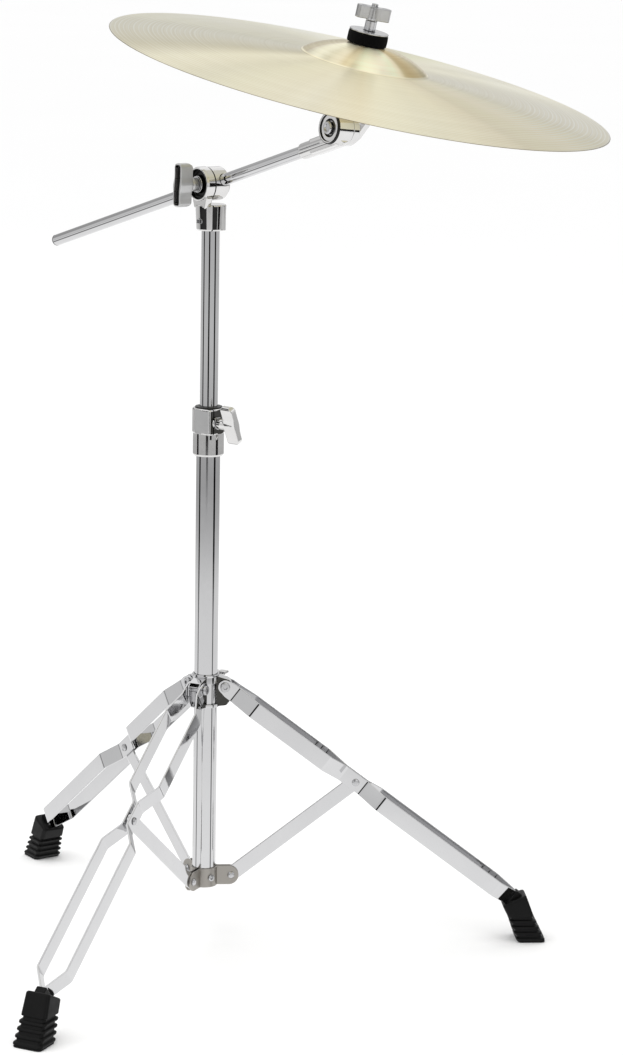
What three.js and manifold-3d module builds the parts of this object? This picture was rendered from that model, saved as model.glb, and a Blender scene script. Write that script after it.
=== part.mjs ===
// Crash cymbal on a boom stand with a braced tripod.
// Millimetres, +Z up, floor at Z = 0, origin at the middle of the overall footprint.
// +X is right and -Y is front. The boom rises towards the front right (+X, -Y).
// Each named mesh is one separate physical piece.
import * as THREE from "three";
import { mergeVertices } from "three/addons/utils/BufferGeometryUtils.js";
import Module from "manifold-3d";

const wasm = await Module();
wasm.setup();

// ---------------------------------------------------------------- driving dimensions
// Names: _R radius, _Z height in the column frame, _T thickness, _H height, _AZ azimuth in degrees.
const GAP = 0.3; // clearance between neighbouring pieces
const FINENESS = 0.55; // scales the number of segments of every turned shape

// column: its axis in the root frame, and the floor's height in the column frame
const COLUMN_X = -87.84;
const COLUMN_Y = 40.43;
const FLOOR_Z = 2.2;

const LOWER_R = 12.7; // 1 inch tube
const LOWER_WALL = 1.4;
const LOWER_BOTTOM_Z = 70;
const LOWER_TOP_Z = 575;
const LOWER_INSERT_R = LOWER_R - LOWER_WALL - GAP; // what fits inside the lower tube
const UPPER_R = 9.525; // 3/4 inch tube
const UPPER_WALL = 1.2;
const UPPER_BOTTOM_Z = 330;
const UPPER_TOP_Z = 799.4;

// height clamp
const SKIRT_Z = 543.3; // skirt bottom
const BLOCK_Z = 567.2; // block bottom
const BLOCK_TOP_Z = 594.6;
const SKIRT_R = 16.5;
const BLOCK_R = 17.4;
const BLOCK_FACE = 16.6; // flat faces, from the column axis
const HEIGHT_CLAMP_AZ = -39.1; // normal of the wing bolt's face
const BOLT_Y = -6; // wing bolt axis, in the height clamp's frame
const BOLT_Z = 580;
const BOSS_END = BLOCK_FACE + 1.6;

// tripod
const LEG_AZ = [0, 120, 240].map((turn) => 4.7 + turn);
const LEG_NAMES = ["right", "back", "front"];
const PLATE_NAMES = ["back_right", "left", "front_right"]; // each from one leg to the next
const HINGE_R = 20.5; // crown hinge, from the column axis
const HINGE_Z = 291;
const HINGE_HOLE_R = 3.3;
const LEG_SLOPE = rad(37.13); // below the horizontal
const STRIP_T = 2;
const STRIP_H = 18;
const STRIP_END = 408; // along the leg, from the crown hinge
const STRIP_CLOSE = 2.65; // strip's middle from the leg's plane, where the pair closes up
const MID_S = 180; // crown hinge to mid rivet, along the leg
const BRACE_T = 2.5;
const BRACE_H = 16;
const EAR_R = 29.5; // brace pivot on the bottom bracket, from the column axis
const EAR_Z = 78;
const EAR_HOLE_R = 3.3;
const BRACKET_H = 21;
const PLATE_T = 1.6;
const MID_R = HINGE_R + MID_S * Math.cos(LEG_SLOPE);
const MID_Z = HINGE_Z - MID_S * Math.sin(LEG_SLOPE);
const FOOT_TOP_R = 341; // middle of the foot's top, from the column axis
const FOOT_TOP_Z = 49.3;
const FOOT_R = 361; // middle of the sole

// boom
const CLAMP_Z = 831; // boom clamp axis
const BOOM_AZ = -50.5;
const BOOM_RISE = rad(16.82); // above the horizontal
const BOOM_OFFSET = 5; // the boom's vertical plane, off the column axis
const BOOM_R = 6.25;
const BOOM_WALL = 1.2;
const BOOM_TAIL = -304; // tail end, along the boom from the clamp
const BOOM_TIP = 206; // inside the tilter socket
const PIVOT_ALONG = 211.7; // tilter axis, along the boom
const PIVOT_UP = 10; // tilter axis above the boom axis
const RATCHET_R = 17;
const STUD_R = 4; // boom clamp stud and tilter screw shank
const STUD_HOLE_R = 4.4;
const STUD_SEAT_R = 4.35; // blind hole at the far end of the stud or shank

// cymbal, on its stem
const RIM_CENTRE = vec(153.2, -145.0, 950.6); // middle of the rim plane, in the column frame
const CYMBAL_UP = vec(0.2018, -0.093, 0.975).normalize(); // direction of the stem
const CYMBAL_R = 254; // 20 inch
const CYMBAL_T = 1.2;
const EDGE_T = 0.75;
const BOW_H = 18.6;
const BOW_POWER = 1.8;
const BELL_R = 63.6;
const BELL_TOP = 35.2; // top surface of the bell, above the rim plane
const CYMBAL_HOLE_R = 7.5;
const STEM_SHIFT = 2.7; // the cymbal hangs this far downhill of the stem
const STEM_R = 3.4;
const STEM_HOLE_R = 3.7;
const SEAT_HOLE_R = 6.4; // in the washers and felts
const FELT_R = 20;

// ---------------------------------------------------------------- frames
function rad(degrees) {
  return (degrees * Math.PI) / 180;
}
function vec(x, y, z) {
  return new THREE.Vector3(x, y, z);
}
const shift = (x, y, z) => new THREE.Matrix4().makeTranslation(x, y, z);
const turnZ = (degrees) => new THREE.Matrix4().makeRotationZ(rad(degrees));
const frame = (origin, x, y, z) => new THREE.Matrix4().makeBasis(x, y, z).setPosition(origin);
const chain = (...frames) => frames.reduce((a, b) => a.multiply(b), new THREE.Matrix4());

const X = vec(1, 0, 0);
const Y = vec(0, 1, 0);
const Z = vec(0, 0, 1);
const ORIGIN = vec(0, 0, 0);
const Z_TO_Y = frame(ORIGIN, X, vec(0, 0, -1), Y); // local X stays X
const Z_TO_X = frame(ORIGIN, vec(0, 0, -1), Y, X); // local Y stays Y
const STAND_XZ = frame(ORIGIN, X, Z, vec(0, -1, 0)); // XY outline into XZ, local Z along -Y
const STAND_YZ = frame(ORIGIN, Y, Z, X); // XY outline into YZ, local Z along +X

// frame whose X is raised by an angle (radians) above the horizontal, in the XZ plane
function pitched(x, y, z, angle) {
  const c = Math.cos(angle);
  const s = Math.sin(angle);
  return frame(vec(x, y, z), vec(c, 0, s), Y, vec(-s, 0, c));
}

// ---------------------------------------------------------------- solids
// welds a closed geometry and makes a Manifold of it, faces outwards
function solid(geometry) {
  const flat = geometry.index ? geometry.toNonIndexed() : geometry;
  const bare = new THREE.BufferGeometry().setAttribute("position", flat.getAttribute("position"));
  const welded = mergeVertices(bare, 1e-4);
  const index = welded.index.array;
  const triangles = [];
  for (let i = 0; i < index.length; i += 3) {
    const [a, b, c] = index.subarray ? index.subarray(i, i + 3) : index.slice(i, i + 3);
    if (a !== b && b !== c && a !== c) triangles.push([a, b, c]);
  }
  const make = (list) =>
    new wasm.Manifold(
      new wasm.Mesh({
        numProp: 3,
        vertProperties: new Float32Array(welded.attributes.position.array),
        triVerts: new Uint32Array(list.flat()),
      }),
    );
  const made = make(triangles);
  return made.volume() < 0 ? make(triangles.map(([a, b, c]) => [a, c, b])) : made;
}
const moved = (s, ...frames) => s.transform(Array.from(chain(...frames).elements));
const union = (...solids) => solids.reduce((a, b) => a.add(b));

// profile of [radius, height] points, turned about local Z
function lathe(profile, segments) {
  const geometry = new THREE.LatheGeometry(
    profile.map(([r, z]) => new THREE.Vector2(r, z)),
    Math.max(12, Math.round(segments * FINENESS)),
  );
  geometry.rotateX(Math.PI / 2);
  return solid(geometry);
}
const closed = (profile) => [...profile, profile[0]];
// a profile's lower half followed by its mirror image above height 0
const mirrored = (half) => [...half, ...half.map(([r, z]) => [r, -z]).reverse()];

const ring = (inner, outer, z0, z1, segments) =>
  lathe(closed([[inner, z0], [outer, z0], [outer, z1], [inner, z1]]), segments);
const rod = (r, z0, z1, segments) => lathe([[0, z0], [r, z0], [r, z1], [0, z1]], segments);
// rod along local Y, from -reach to +reach
const crossRod = (r, reach, segments, x = 0, z = 0) =>
  moved(rod(r, -reach, reach, segments), shift(x, 0, z), Z_TO_Y);

// outline in XY, extruded from z0 to z1
function slab(outline, z0, z1) {
  const shape = new THREE.Shape(outline.map(([x, y]) => new THREE.Vector2(x, y)));
  const options = { depth: z1 - z0, bevelEnabled: false, steps: 1 };
  return solid(new THREE.ExtrudeGeometry(shape, options).translate(0, 0, z0));
}
function box(x0, x1, y0, y1, z0, z1) {
  const geometry = new THREE.BoxGeometry(x1 - x0, y1 - y0, z1 - z0);
  return solid(geometry.translate((x0 + x1) / 2, (y0 + y1) / 2, (z0 + z1) / 2));
}

// points of an arc, angles in degrees
function arc(cx, cy, r, from, to, steps) {
  return Array.from({ length: steps + 1 }, (_, i) => {
    const a = rad(from + ((to - from) * i) / steps);
    return [cx + r * Math.cos(a), cy + r * Math.sin(a)];
  });
}
function unit2(x, y) {
  const length = Math.hypot(x, y);
  return [x / length, y / length];
}
// outline of a strip of the given thickness along a polyline, mitred at the bends
function band(path, thickness) {
  const left = [];
  const right = [];
  const direction = (a, b) => unit2(b[0] - a[0], b[1] - a[1]);
  path.forEach((point, i) => {
    const before = i > 0 ? direction(path[i - 1], point) : direction(point, path[1]);
    const after = i < path.length - 1 ? direction(point, path[i + 1]) : before;
    const normal = unit2(-(before[1] + after[1]), before[0] + after[0]);
    const reach = thickness / 2 / (normal[0] * -before[1] + normal[1] * before[0]);
    left.push([point[0] + normal[0] * reach, point[1] + normal[1] * reach]);
    right.push([point[0] - normal[0] * reach, point[1] - normal[1] * reach]);
  });
  return left.concat(right.reverse());
}

// skin through rings of equal point count, each closed by a fan at its end
function loft(rings) {
  const count = rings[0].length;
  const positions = [];
  const triangle = (...corners) => corners.forEach((p) => positions.push(p.x, p.y, p.z));
  for (let k = 0; k + 1 < rings.length; k++)
    for (let i = 0; i < count; i++) {
      const j = (i + 1) % count;
      triangle(rings[k][i], rings[k][j], rings[k + 1][j]);
      triangle(rings[k][i], rings[k + 1][j], rings[k + 1][i]);
    }
  const cap = (points, flip) => {
    const centre = points.reduce((sum, p) => sum.add(p), vec(0, 0, 0)).multiplyScalar(1 / count);
    for (let i = 0; i < count; i++) {
      const j = (i + 1) % count;
      if (flip) triangle(centre, points[j], points[i]);
      else triangle(centre, points[i], points[j]);
    }
  };
  cap(rings[0], true);
  cap(rings[rings.length - 1], false);
  const geometry = new THREE.BufferGeometry();
  geometry.setAttribute("position", new THREE.BufferAttribute(new Float32Array(positions), 3));
  return solid(geometry);
}

// Die-cast wing: a turned hub standing on z = 0 with two opposite leaves along local Y,
// each set off to one side. length: tip to tip; leafH: leaf above the hub's shoulder at hubH;
// bore: radius of a hole from below, boreDepth deep; skew: turn about Z in degrees.
function wing({ length, leafH, hubR, hubH, thick, bore = 0, boreDepth = 0, skew = 0 }) {
  const reach = length / 2;
  const offset = thick * 0.2;
  const r = thick * 0.26; // half the leaf's thickness
  const z0 = hubH - 1;
  const z1 = hubH + leafH;
  const plan = [...arc(offset, reach - r * 1.2, r, 0, 180, 8), [offset - r, -2], [offset + r, -2]];
  // cuts the leaf's lower corner back towards the hub: [along the leaf, height]
  const corner = [
    [reach * 0.42, z0 - 1],
    [reach + 3, z0 - 1],
    [reach + 3, z0 + leafH * 0.34],
    [reach * 0.95, z0 + leafH * 0.2],
  ];
  const leaf = slab(plan, z0, z1).subtract(moved(slab(corner, -thick, thick), STAND_YZ));
  const hubTop = z1 - 2.2;
  const hub = lathe(
    [
      [0, 0], [hubR, 0], [hubR, hubH * 0.55],
      [hubR * 0.86, hubH], [hubR * 0.8, hubTop], [0, hubTop],
    ],
    20,
  );
  let s = union(leaf, moved(leaf, turnZ(180)), hub);
  if (bore) s = s.subtract(rod(bore, -1, boreDepth, 16));
  return moved(s, turnZ(skew));
}

// ---------------------------------------------------------------- materials
const material = (settings) => new THREE.MeshStandardMaterial({ ...settings, flatShading: true });
const CHROME = material({ color: 0xd6d6d8, roughness: 0.12, metalness: 1 });
const NICKEL = material({ color: 0x9b9a94, roughness: 0.42, metalness: 1 });
const BRONZE = material({ color: 0xe4dcb8, roughness: 0.34, metalness: 1 });
const NYLON = material({ color: 0x141414, roughness: 0.5, metalness: 0 });
const RUBBER = material({ color: 0x0c0c0c, roughness: 0.7, metalness: 0 });
const FELT = material({ color: 0x0a0a0b, roughness: 0.95, metalness: 0 });
const STEEL = material({ color: 0xb0b0b2, roughness: 0.3, metalness: 1 });
const CAST = material({ color: 0xc9c9cc, roughness: 0.18, metalness: 1 });

// ---------------------------------------------------------------- scene
const root = new THREE.Group();
root.name = "crash_cymbal";
const column = new THREE.Group(); // tube axis at X = Y = 0, floor at Z = FLOOR_Z
column.position.set(COLUMN_X, COLUMN_Y, -FLOOR_Z);
root.add(column);

function group(parent, ...frames) {
  const child = new THREE.Group();
  child.applyMatrix4(chain(...frames));
  parent.add(child);
  return child;
}
function add(parent, name, s, surface) {
  const { vertProperties, triVerts } = s.getMesh();
  const geometry = new THREE.BufferGeometry();
  geometry.setAttribute("position", new THREE.BufferAttribute(vertProperties, 3));
  geometry.setIndex(new THREE.BufferAttribute(triVerts, 1));
  geometry.computeVertexNormals();
  const mesh = new THREE.Mesh(geometry, surface);
  mesh.name = name;
  parent.add(mesh);
}

// ---------------------------------------------------------------- column tubes
const tube = (outer, wall, z0, z1, segments) => ring(outer - wall, outer, z0, z1, segments);

function tubeEndPlug() {
  return union(
    rod(LOWER_INSERT_R, LOWER_BOTTOM_Z - 1, LOWER_BOTTOM_Z + 12, 28),
    rod(12.2, LOWER_BOTTOM_Z - 2.3, LOWER_BOTTOM_Z - GAP, 28),
  );
}
// sleeve between the two tubes, with a collar on top of the height clamp
function guideBush() {
  const inner = UPPER_R + GAP;
  return union(
    ring(inner, LOWER_INSERT_R, 546, BLOCK_TOP_Z + 0.5, 32),
    ring(inner, 15.2, BLOCK_TOP_Z + GAP, BLOCK_TOP_Z + 2.4, 32),
  );
}
add(column, "lower_tube", tube(LOWER_R, LOWER_WALL, LOWER_BOTTOM_Z, LOWER_TOP_Z, 36), CHROME);
add(column, "tube_end_plug", tubeEndPlug(), NYLON);
add(column, "upper_tube", tube(UPPER_R, UPPER_WALL, UPPER_BOTTOM_Z, UPPER_TOP_Z, 36), CHROME);
add(column, "guide_bush", guideBush(), NYLON);

// ---------------------------------------------------------------- height clamp
// local X is the wing bolt's direction
const heightClamp = group(column, turnZ(HEIGHT_CLAMP_AZ));

function heightClampCasting() {
  const chamfer = 0.9;
  const corner = [
    [-6, 6],
    [-6, -BLOCK_FACE],
    [BLOCK_FACE - chamfer, -BLOCK_FACE],
    [BLOCK_FACE, -BLOCK_FACE + chamfer],
    [BLOCK_FACE, 6],
  ];
  const block = union(
    slab(corner, BLOCK_Z, BLOCK_TOP_Z),
    rod(BLOCK_R, BLOCK_Z, BLOCK_TOP_Z, 36),
    rod(SKIRT_R, SKIRT_Z, BLOCK_Z + 1, 36),
  );
  // wide around the lower tube, narrower above its end
  const bore = union(
    rod(LOWER_R + GAP, SKIRT_Z - 1, LOWER_TOP_Z + 1, 36),
    rod(11.4, LOWER_TOP_Z, BLOCK_TOP_Z + 1, 36),
  );
  const slit = box(6.5, 19, -11.35, -9.85, 562, BLOCK_TOP_Z + 1);
  const boltAxis = chain(shift(0, BOLT_Y, BOLT_Z), Z_TO_X);
  const boss = moved(rod(6.2, BLOCK_FACE - 1, BOSS_END, 20), boltAxis);
  const tap = moved(rod(3.3, 12.6, 22, 16), boltAxis);
  return block.add(boss).subtract(bore).subtract(slit).subtract(tap);
}
function heightClampWingBolt() {
  const handle = wing({ length: 44, leafH: 14, hubR: 6, hubH: 10.5, thick: 13, skew: 16 });
  return union(moved(handle, shift(0, 0, 1.4)), rod(3.0, -5.2, 3, 16));
}
add(heightClamp, "height_clamp_casting", heightClampCasting(), CAST);
const bolt = group(heightClamp, shift(BOSS_END + GAP, BOLT_Y, BOLT_Z), STAND_YZ);
add(bolt, "height_clamp_washer", ring(3.4, 6.6, 0, 1.1, 20), STEEL);
add(bolt, "height_clamp_wing_bolt", heightClampWingBolt(), CAST);

// ---------------------------------------------------------------- bottom bracket
// Three stamped plates round the lower tube, each ending in an ear beside two neighbouring legs.
const EAR_INNER = BRACE_T / 2 + GAP; // faces of an ear, from the leg's plane
const EAR_OUTER = EAR_INNER + PLATE_T;
const PLATE_INNER_R = LOWER_R + GAP;
const PLATE_OUTER_R = PLATE_INNER_R + PLATE_T;

function bracketPlate(az0, az1, rivetAxis) {
  // point at radius r along an azimuth, w to its left
  const beside = (az, r, w) => {
    const c = Math.cos(rad(az));
    const s = Math.sin(rad(az));
    return [c * r - s * w, s * r + c * w];
  };
  const wrap = (r, face) => {
    const trim = (Math.asin(face / r) * 180) / Math.PI;
    return arc(0, 0, r, az0 + trim, az1 - trim, 10);
  };
  const end = EAR_R + BRACKET_H / 2 + 1;
  const plan = [
    beside(az0, end, EAR_INNER),
    beside(az0, end, EAR_OUTER),
    ...wrap(PLATE_OUTER_R, EAR_OUTER),
    beside(az1, end, -EAR_OUTER),
    beside(az1, end, -EAR_INNER),
    ...wrap(PLATE_INNER_R, EAR_INNER).reverse(),
  ];
  const z0 = EAR_Z - BRACKET_H / 2;
  const z1 = EAR_Z + BRACKET_H / 2;
  // the ears' rounded ends
  const earSide = [[0, z0], ...arc(EAR_R - 2.2, EAR_Z, BRACKET_H / 2, -90, 90, 12), [0, z1]];
  const ears = [az0, az1].map((az) => moved(slab(earSide, -6, 6), turnZ(az), STAND_XZ));
  let plate = slab(plan, z0, z1).intersect(union(rod(20, z0, z1, 30), ...ears));
  for (const az of [az0, az1])
    plate = plate.subtract(moved(crossRod(EAR_HOLE_R, 8, 16, EAR_R, EAR_Z), turnZ(az)));
  return plate.subtract(moved(rod(2.3, 8, 20, 14), rivetAxis));
}
// rivet through the middle of a plate, with a dimpled head
function plateRivet() {
  const face = PLATE_OUTER_R;
  return lathe(
    [
      [0, 13.2], [2.0, 13.2], [2.0, face + GAP], [3.9, face + GAP],
      [3.4, face + 1.7], [1.7, face + 2.1], [1.3, face + 1.1], [0, face + 1.1],
    ],
    16,
  );
}
LEG_AZ.forEach((az, i) => {
  const rivetAxis = chain(turnZ(az + 60), shift(0, 0, EAR_Z), Z_TO_X);
  add(column, `bracket_plate_${PLATE_NAMES[i]}`, bracketPlate(az, az + 120, rivetAxis), NICKEL);
  add(column, `plate_rivet_${PLATE_NAMES[i]}`, moved(plateRivet(), rivetAxis), STEEL);
});

// ---------------------------------------------------------------- crown
const CROWN_HALF_W = 7.2; // outer face of a hinge ear, from the leg's plane
const CROWN_EAR_T = 1.9;
const CROWN_BOTTOM_Z = 268.8;
const CROWN_SCREW_R = 2.6; // screw hole
// midway between the right and back legs
const crownScrewAxis = chain(turnZ(LEG_AZ[0] + 60), shift(0, 0, 299), Z_TO_X);

// side outlines of the parts at each leg: [from the column axis, height]
const CROWN_EAR = [
  [8, CROWN_BOTTOM_Z], [22, 270.2], [26.5, 276], [28.4, 285], [28.4, 294.5], [25, 298.6], [8, 304],
];
const CROWN_ROOF = [[8, 304], [25, 298.6], [28.4, 294.5], [27.2, 293.4], [24.3, 296.8], [8, 302]];
const CROWN_SILL = [[8, CROWN_BOTTOM_Z], [21.5, 270.2], [21.5, 271.8], [8, 270.4]];

function crown() {
  const parts = [
    lathe([[0, 295], [14.3, 295], [14.1, 302.5], [14.7, 305], [0, 305]], 36),
    rod(15.2, CROWN_BOTTOM_Z, 272.6, 36),
  ];
  for (const az of LEG_AZ)
    for (const [outline, from, to] of [
      [CROWN_EAR, CROWN_HALF_W - CROWN_EAR_T, CROWN_HALF_W],
      [CROWN_EAR, -CROWN_HALF_W, -CROWN_HALF_W + CROWN_EAR_T],
      [CROWN_ROOF, -CROWN_HALF_W, CROWN_HALF_W],
      [CROWN_SILL, -CROWN_HALF_W, CROWN_HALF_W],
    ])
      parts.push(moved(slab(outline, from, to), turnZ(az), STAND_XZ));
  let s = union(...parts).subtract(rod(LOWER_R + 0.35, 255, 320, 40));
  for (const az of LEG_AZ)
    s = s.subtract(moved(crossRod(HINGE_HOLE_R, 14, 16, HINGE_R, HINGE_Z), turnZ(az)));
  return s
    .add(moved(ring(CROWN_SCREW_R, 5.2, 13.3, 19, 18), crownScrewAxis))
    .subtract(moved(rod(CROWN_SCREW_R, 10, 20, 16), crownScrewAxis));
}
function crownThumbScrew() {
  const handle = wing({ length: 24, leafH: 8, hubR: 4, hubH: 4, thick: 7 });
  return union(rod(2.2, 13.5, 22, 14), moved(handle, shift(0, 0, 19.4)));
}
add(column, "crown", crown(), CHROME);
add(column, "crown_thumb_screw", moved(crownThumbScrew(), crownScrewAxis), CAST);

// ---------------------------------------------------------------- legs
// Slope frame: origin at the crown hinge, X down the leg, Y the hinge direction,
// Z the strip's width.
const slopeFrame = pitched(HINGE_R, 0, HINGE_Z, -LEG_SLOPE);

// a strip's middle line: [along the leg, distance from the leg's plane]
const STRIP_PATH = [
  [-9, 8.5], [14, 8.5], [39, 17.4], [139, 17.4],
  [161.5, STRIP_CLOSE], [191, STRIP_CLOSE],
  [213, 16.6], [376, 16.6], [398, STRIP_CLOSE], [STRIP_END, STRIP_CLOSE],
];

// one of the two bent strips of a leg; side is +1 or -1 along local Y
function legStrip(side) {
  const outline = [
    ...arc(0, 0, 7.6, 120, 240, 6),
    [6, -STRIP_H / 2], [STRIP_END, -STRIP_H / 2],
    [STRIP_END, STRIP_H / 2], [6, STRIP_H / 2],
  ];
  const path = STRIP_PATH.map(([s, w]) => [s, w * side]);
  return slab(band(path, STRIP_T), -STRIP_H, STRIP_H)
    .intersect(moved(slab(outline, -30, 30), STAND_XZ))
    .subtract(crossRod(HINGE_HOLE_R, 14, 16))
    .subtract(crossRod(2.7, 8, 14, MID_S));
}
// half of the rivet that joins strips and brace, pointing out along local Z
function midRivet() {
  const face = STRIP_CLOSE + STRIP_T / 2 + GAP;
  return lathe(
    [[0, 1.9], [2.4, 1.9], [2.4, face], [4.2, face], [3.6, 5.1], [2, 5.6], [0, 5.6]],
    14,
  );
}
// bolt through the crown ears and both strips
function hingeBolt() {
  const half = [[0, -12.6], [4.4, -12.6], [5.2, -11.6], [5.2, -9.85], [3.0, -9.85]];
  return lathe(mirrored(half), 18);
}

// ---------------------------------------------------------------- braces
// single flat bar from the bottom bracket to the mid rivet
const BRACE_L = Math.hypot(MID_R - EAR_R, MID_Z - EAR_Z);
const BRACE_RISE = Math.atan2(MID_Z - EAR_Z, MID_R - EAR_R);

function brace() {
  const r = BRACE_H / 2;
  const outline = [...arc(0, 0, r, 90, 270, 10), ...arc(BRACE_L, 0, r, -90, 90, 10)];
  return moved(slab(outline, -BRACE_T / 2, BRACE_T / 2), STAND_XZ)
    .subtract(crossRod(3.1, 6, 16))
    .subtract(crossRod(3.1, 6, 16, BRACE_L));
}
function bracePivotRivet() {
  const face = EAR_OUTER + GAP;
  const end = EAR_OUTER + 2.1;
  return lathe(mirrored([[0, -end], [2.6, -end], [4.0, -face], [2.7, -face]]), 16);
}

// ---------------------------------------------------------------- feet
const FOOT_SOCKET_S = 398.5; // upper end of the strips' socket, along the leg

// rounded rectangle at fraction f of the way from the foot's top to its sole;
// it slopes at the top and levels out at f = 0.42
function footRing([f, halfX, halfY]) {
  const cx = FOOT_TOP_R + (FOOT_R - FOOT_TOP_R) * f;
  const cz = FOOT_TOP_Z + (FLOOR_Z - FOOT_TOP_Z) * f;
  const slant = 0.52 * Math.max(0, 1 - f / 0.42);
  const r = Math.min(halfX, halfY) * 0.3;
  const corners = [[1, 1, 0], [-1, 1, 90], [-1, -1, 180], [1, -1, 270]]; // [side x, side y, angle]
  return corners
    .flatMap(([sx, sy, a]) => arc(sx * (halfX - r), sy * (halfY - r), r, a, a + 90, 2))
    .map(([x, y]) => vec(cx + x, y, cz + x * slant));
}
// rubber foot: plain block above, four fins below, flat sole
function foot() {
  // [fraction of the way down, half length, half width]
  const stations = [[0.0, 11.2, 12.4], [0.05, 12.8, 14.0], [0.38, 14.0, 15.0]];
  for (let k = 0; k < 4; k++) {
    const f = 0.41 + 0.14 * k;
    const groove = 0.6 * k;
    const fin = 0.45 * k;
    stations.push(
      [f, 12.2 + groove, 13.2 + groove],
      [f + 0.055, 12.4 + groove, 13.4 + groove],
      [f + 0.085, 14.6 + fin, 15.8 + fin],
      [f + 0.115, 14.7 + fin, 15.9 + fin],
    );
  }
  stations.push([0.965, 15.4, 16.6], [1.0, 14.2, 15.4]);
  const socket = box(FOOT_SOCKET_S, 407, -5.9, 5.9, -10, 10);
  const slotH = STRIP_H / 2 + 0.4;
  const slot = box(380, STRIP_END + 1.2, -4.1, 4.1, -slotH, slotH);
  // room for the strips where they spread, up the leg from the socket
  const mouthH = STRIP_H / 2 + 0.6;
  const mouth = box(380, FOOT_SOCKET_S, -7, 7, -mouthH, mouthH);
  return loft(stations.map(footRing))
    .add(moved(socket, slopeFrame))
    .subtract(moved(slot, slopeFrame))
    .subtract(moved(mouth, slopeFrame));
}

LEG_NAMES.forEach((name, i) => {
  const leg = group(column, turnZ(LEG_AZ[i])); // local X outwards, local Y the hinge direction
  const slope = group(leg, slopeFrame);
  for (const [letter, side] of [["a", 1], ["b", -1]]) {
    add(slope, `leg_${name}_strip_${letter}`, legStrip(side), CHROME);
    const outwards = side > 0 ? Z_TO_Y : STAND_XZ;
    const rivet = moved(midRivet(), shift(MID_S, 0, 0), outwards);
    add(slope, `mid_rivet_${name}_${letter}`, rivet, STEEL);
  }
  add(leg, `hinge_bolt_${name}`, moved(hingeBolt(), shift(HINGE_R, 0, HINGE_Z), Z_TO_Y), STEEL);
  add(group(leg, pitched(EAR_R, 0, EAR_Z, BRACE_RISE)), `brace_${name}`, brace(), CHROME);
  const pivotRivet = moved(bracePivotRivet(), shift(EAR_R, 0, EAR_Z), Z_TO_Y);
  add(leg, `brace_pivot_rivet_${name}`, pivotRivet, STEEL);
  add(leg, `foot_${name}`, foot(), RUBBER);
});

// ---------------------------------------------------------------- boom clamp
// Clamp frame: X the boom's horizontal direction, Y the clamp axis, Z up.
const boomHeading = vec(Math.cos(rad(BOOM_AZ)), Math.sin(rad(BOOM_AZ)), 0);
const clampAxis = vec(-Math.sin(rad(BOOM_AZ)), Math.cos(rad(BOOM_AZ)), 0);
const clamp = group(column, frame(vec(0, 0, CLAMP_Z), boomHeading, clampAxis, Z));
const boomFrame = pitched(0, BOOM_OFFSET, 0, BOOM_RISE);
// key screw in the socket's side
const keyScrewAxis = chain(turnZ(227.7 - BOOM_AZ), shift(0, 0, 792.5 - CLAMP_Z), Z_TO_X);

// socket on the upper tube, with a ratchet disc beside the boom
function boomClampBase() {
  const z0 = 782.3 - CLAMP_Z;
  const z1 = 809.6 - CLAMP_Z;
  const socket = lathe(
    [[0, z0], [14.2, z0], [14.9, z0 + 1], [16.2, z1 - 0.8], [15.4, z1], [0, z1]],
    32,
  );
  const lug = box(3, 14.6, -2, 9.4, z0, z1);
  const webSide = [[-13.5, z1 - 2], [13.5, z1 - 2], [15.5, z1 + 8], [-15.5, z1 + 8]];
  const web = moved(slab(webSide, 7.2, 17.6), STAND_XZ);
  const rim = RATCHET_R + 1.2;
  const disc = lathe(
    [[0, -18.7], [9.5, -18.7], [11, -17.2], [15.2, -17.8], [rim, -15.6], [rim, -7.2], [0, -7.2]],
    36,
  );
  return union(socket, lug, web, moved(disc, Z_TO_Y))
    .subtract(rod(UPPER_R + GAP, z0 - 1, UPPER_TOP_Z + 0.6 - CLAMP_Z, 32))
    .subtract(moved(rod(STUD_HOLE_R, -30, 0, 20), Z_TO_Y))
    .subtract(moved(rod(3.3, 9, 20, 16), keyScrewAxis));
}
function socketKeyScrew() {
  const squareHead = box(-2.1, 2.1, -2.1, 2.1, 15, 19);
  return moved(union(rod(2.9, 10.3, 15.6, 16), squareHead), keyScrewAxis);
}
// the half that carries the boom
function boomClampEye() {
  const rim = RATCHET_R + 0.6;
  const profile = [[0, -6.9], [rim, -6.9], [rim, 10.6], [RATCHET_R - 2, 13.6], [0, 13.6]];
  return moved(lathe(profile, 36), Z_TO_Y)
    .subtract(moved(rod(8.1, -30, 30, 28), boomFrame, Z_TO_X))
    .subtract(moved(rod(STUD_SEAT_R, -10, -4.2, 20), Z_TO_Y));
}
function boomClampWingNut() {
  const size = { length: 45, leafH: 14, hubR: 7, hubH: 9.6, thick: 13 };
  return moved(wing({ ...size, bore: 4.3, boreDepth: 18.6 }), shift(0, 0, 1.4));
}
add(clamp, "boom_clamp_base", boomClampBase(), CAST);
add(clamp, "socket_key_screw", socketKeyScrew(), STEEL);
add(clamp, "boom_clamp_eye", boomClampEye(), CAST);
add(clamp, "boom_clamp_stud", moved(rod(STUD_R, -38, -4.6, 20), Z_TO_Y), STEEL);
const clampNut = group(clamp, shift(0, -19.0, 0), STAND_XZ);
add(clampNut, "boom_clamp_washer", ring(STUD_HOLE_R, 8.2, 0, 1.1, 22), STEEL);
add(clampNut, "boom_clamp_wing_nut", boomClampWingNut(), CAST);

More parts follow.
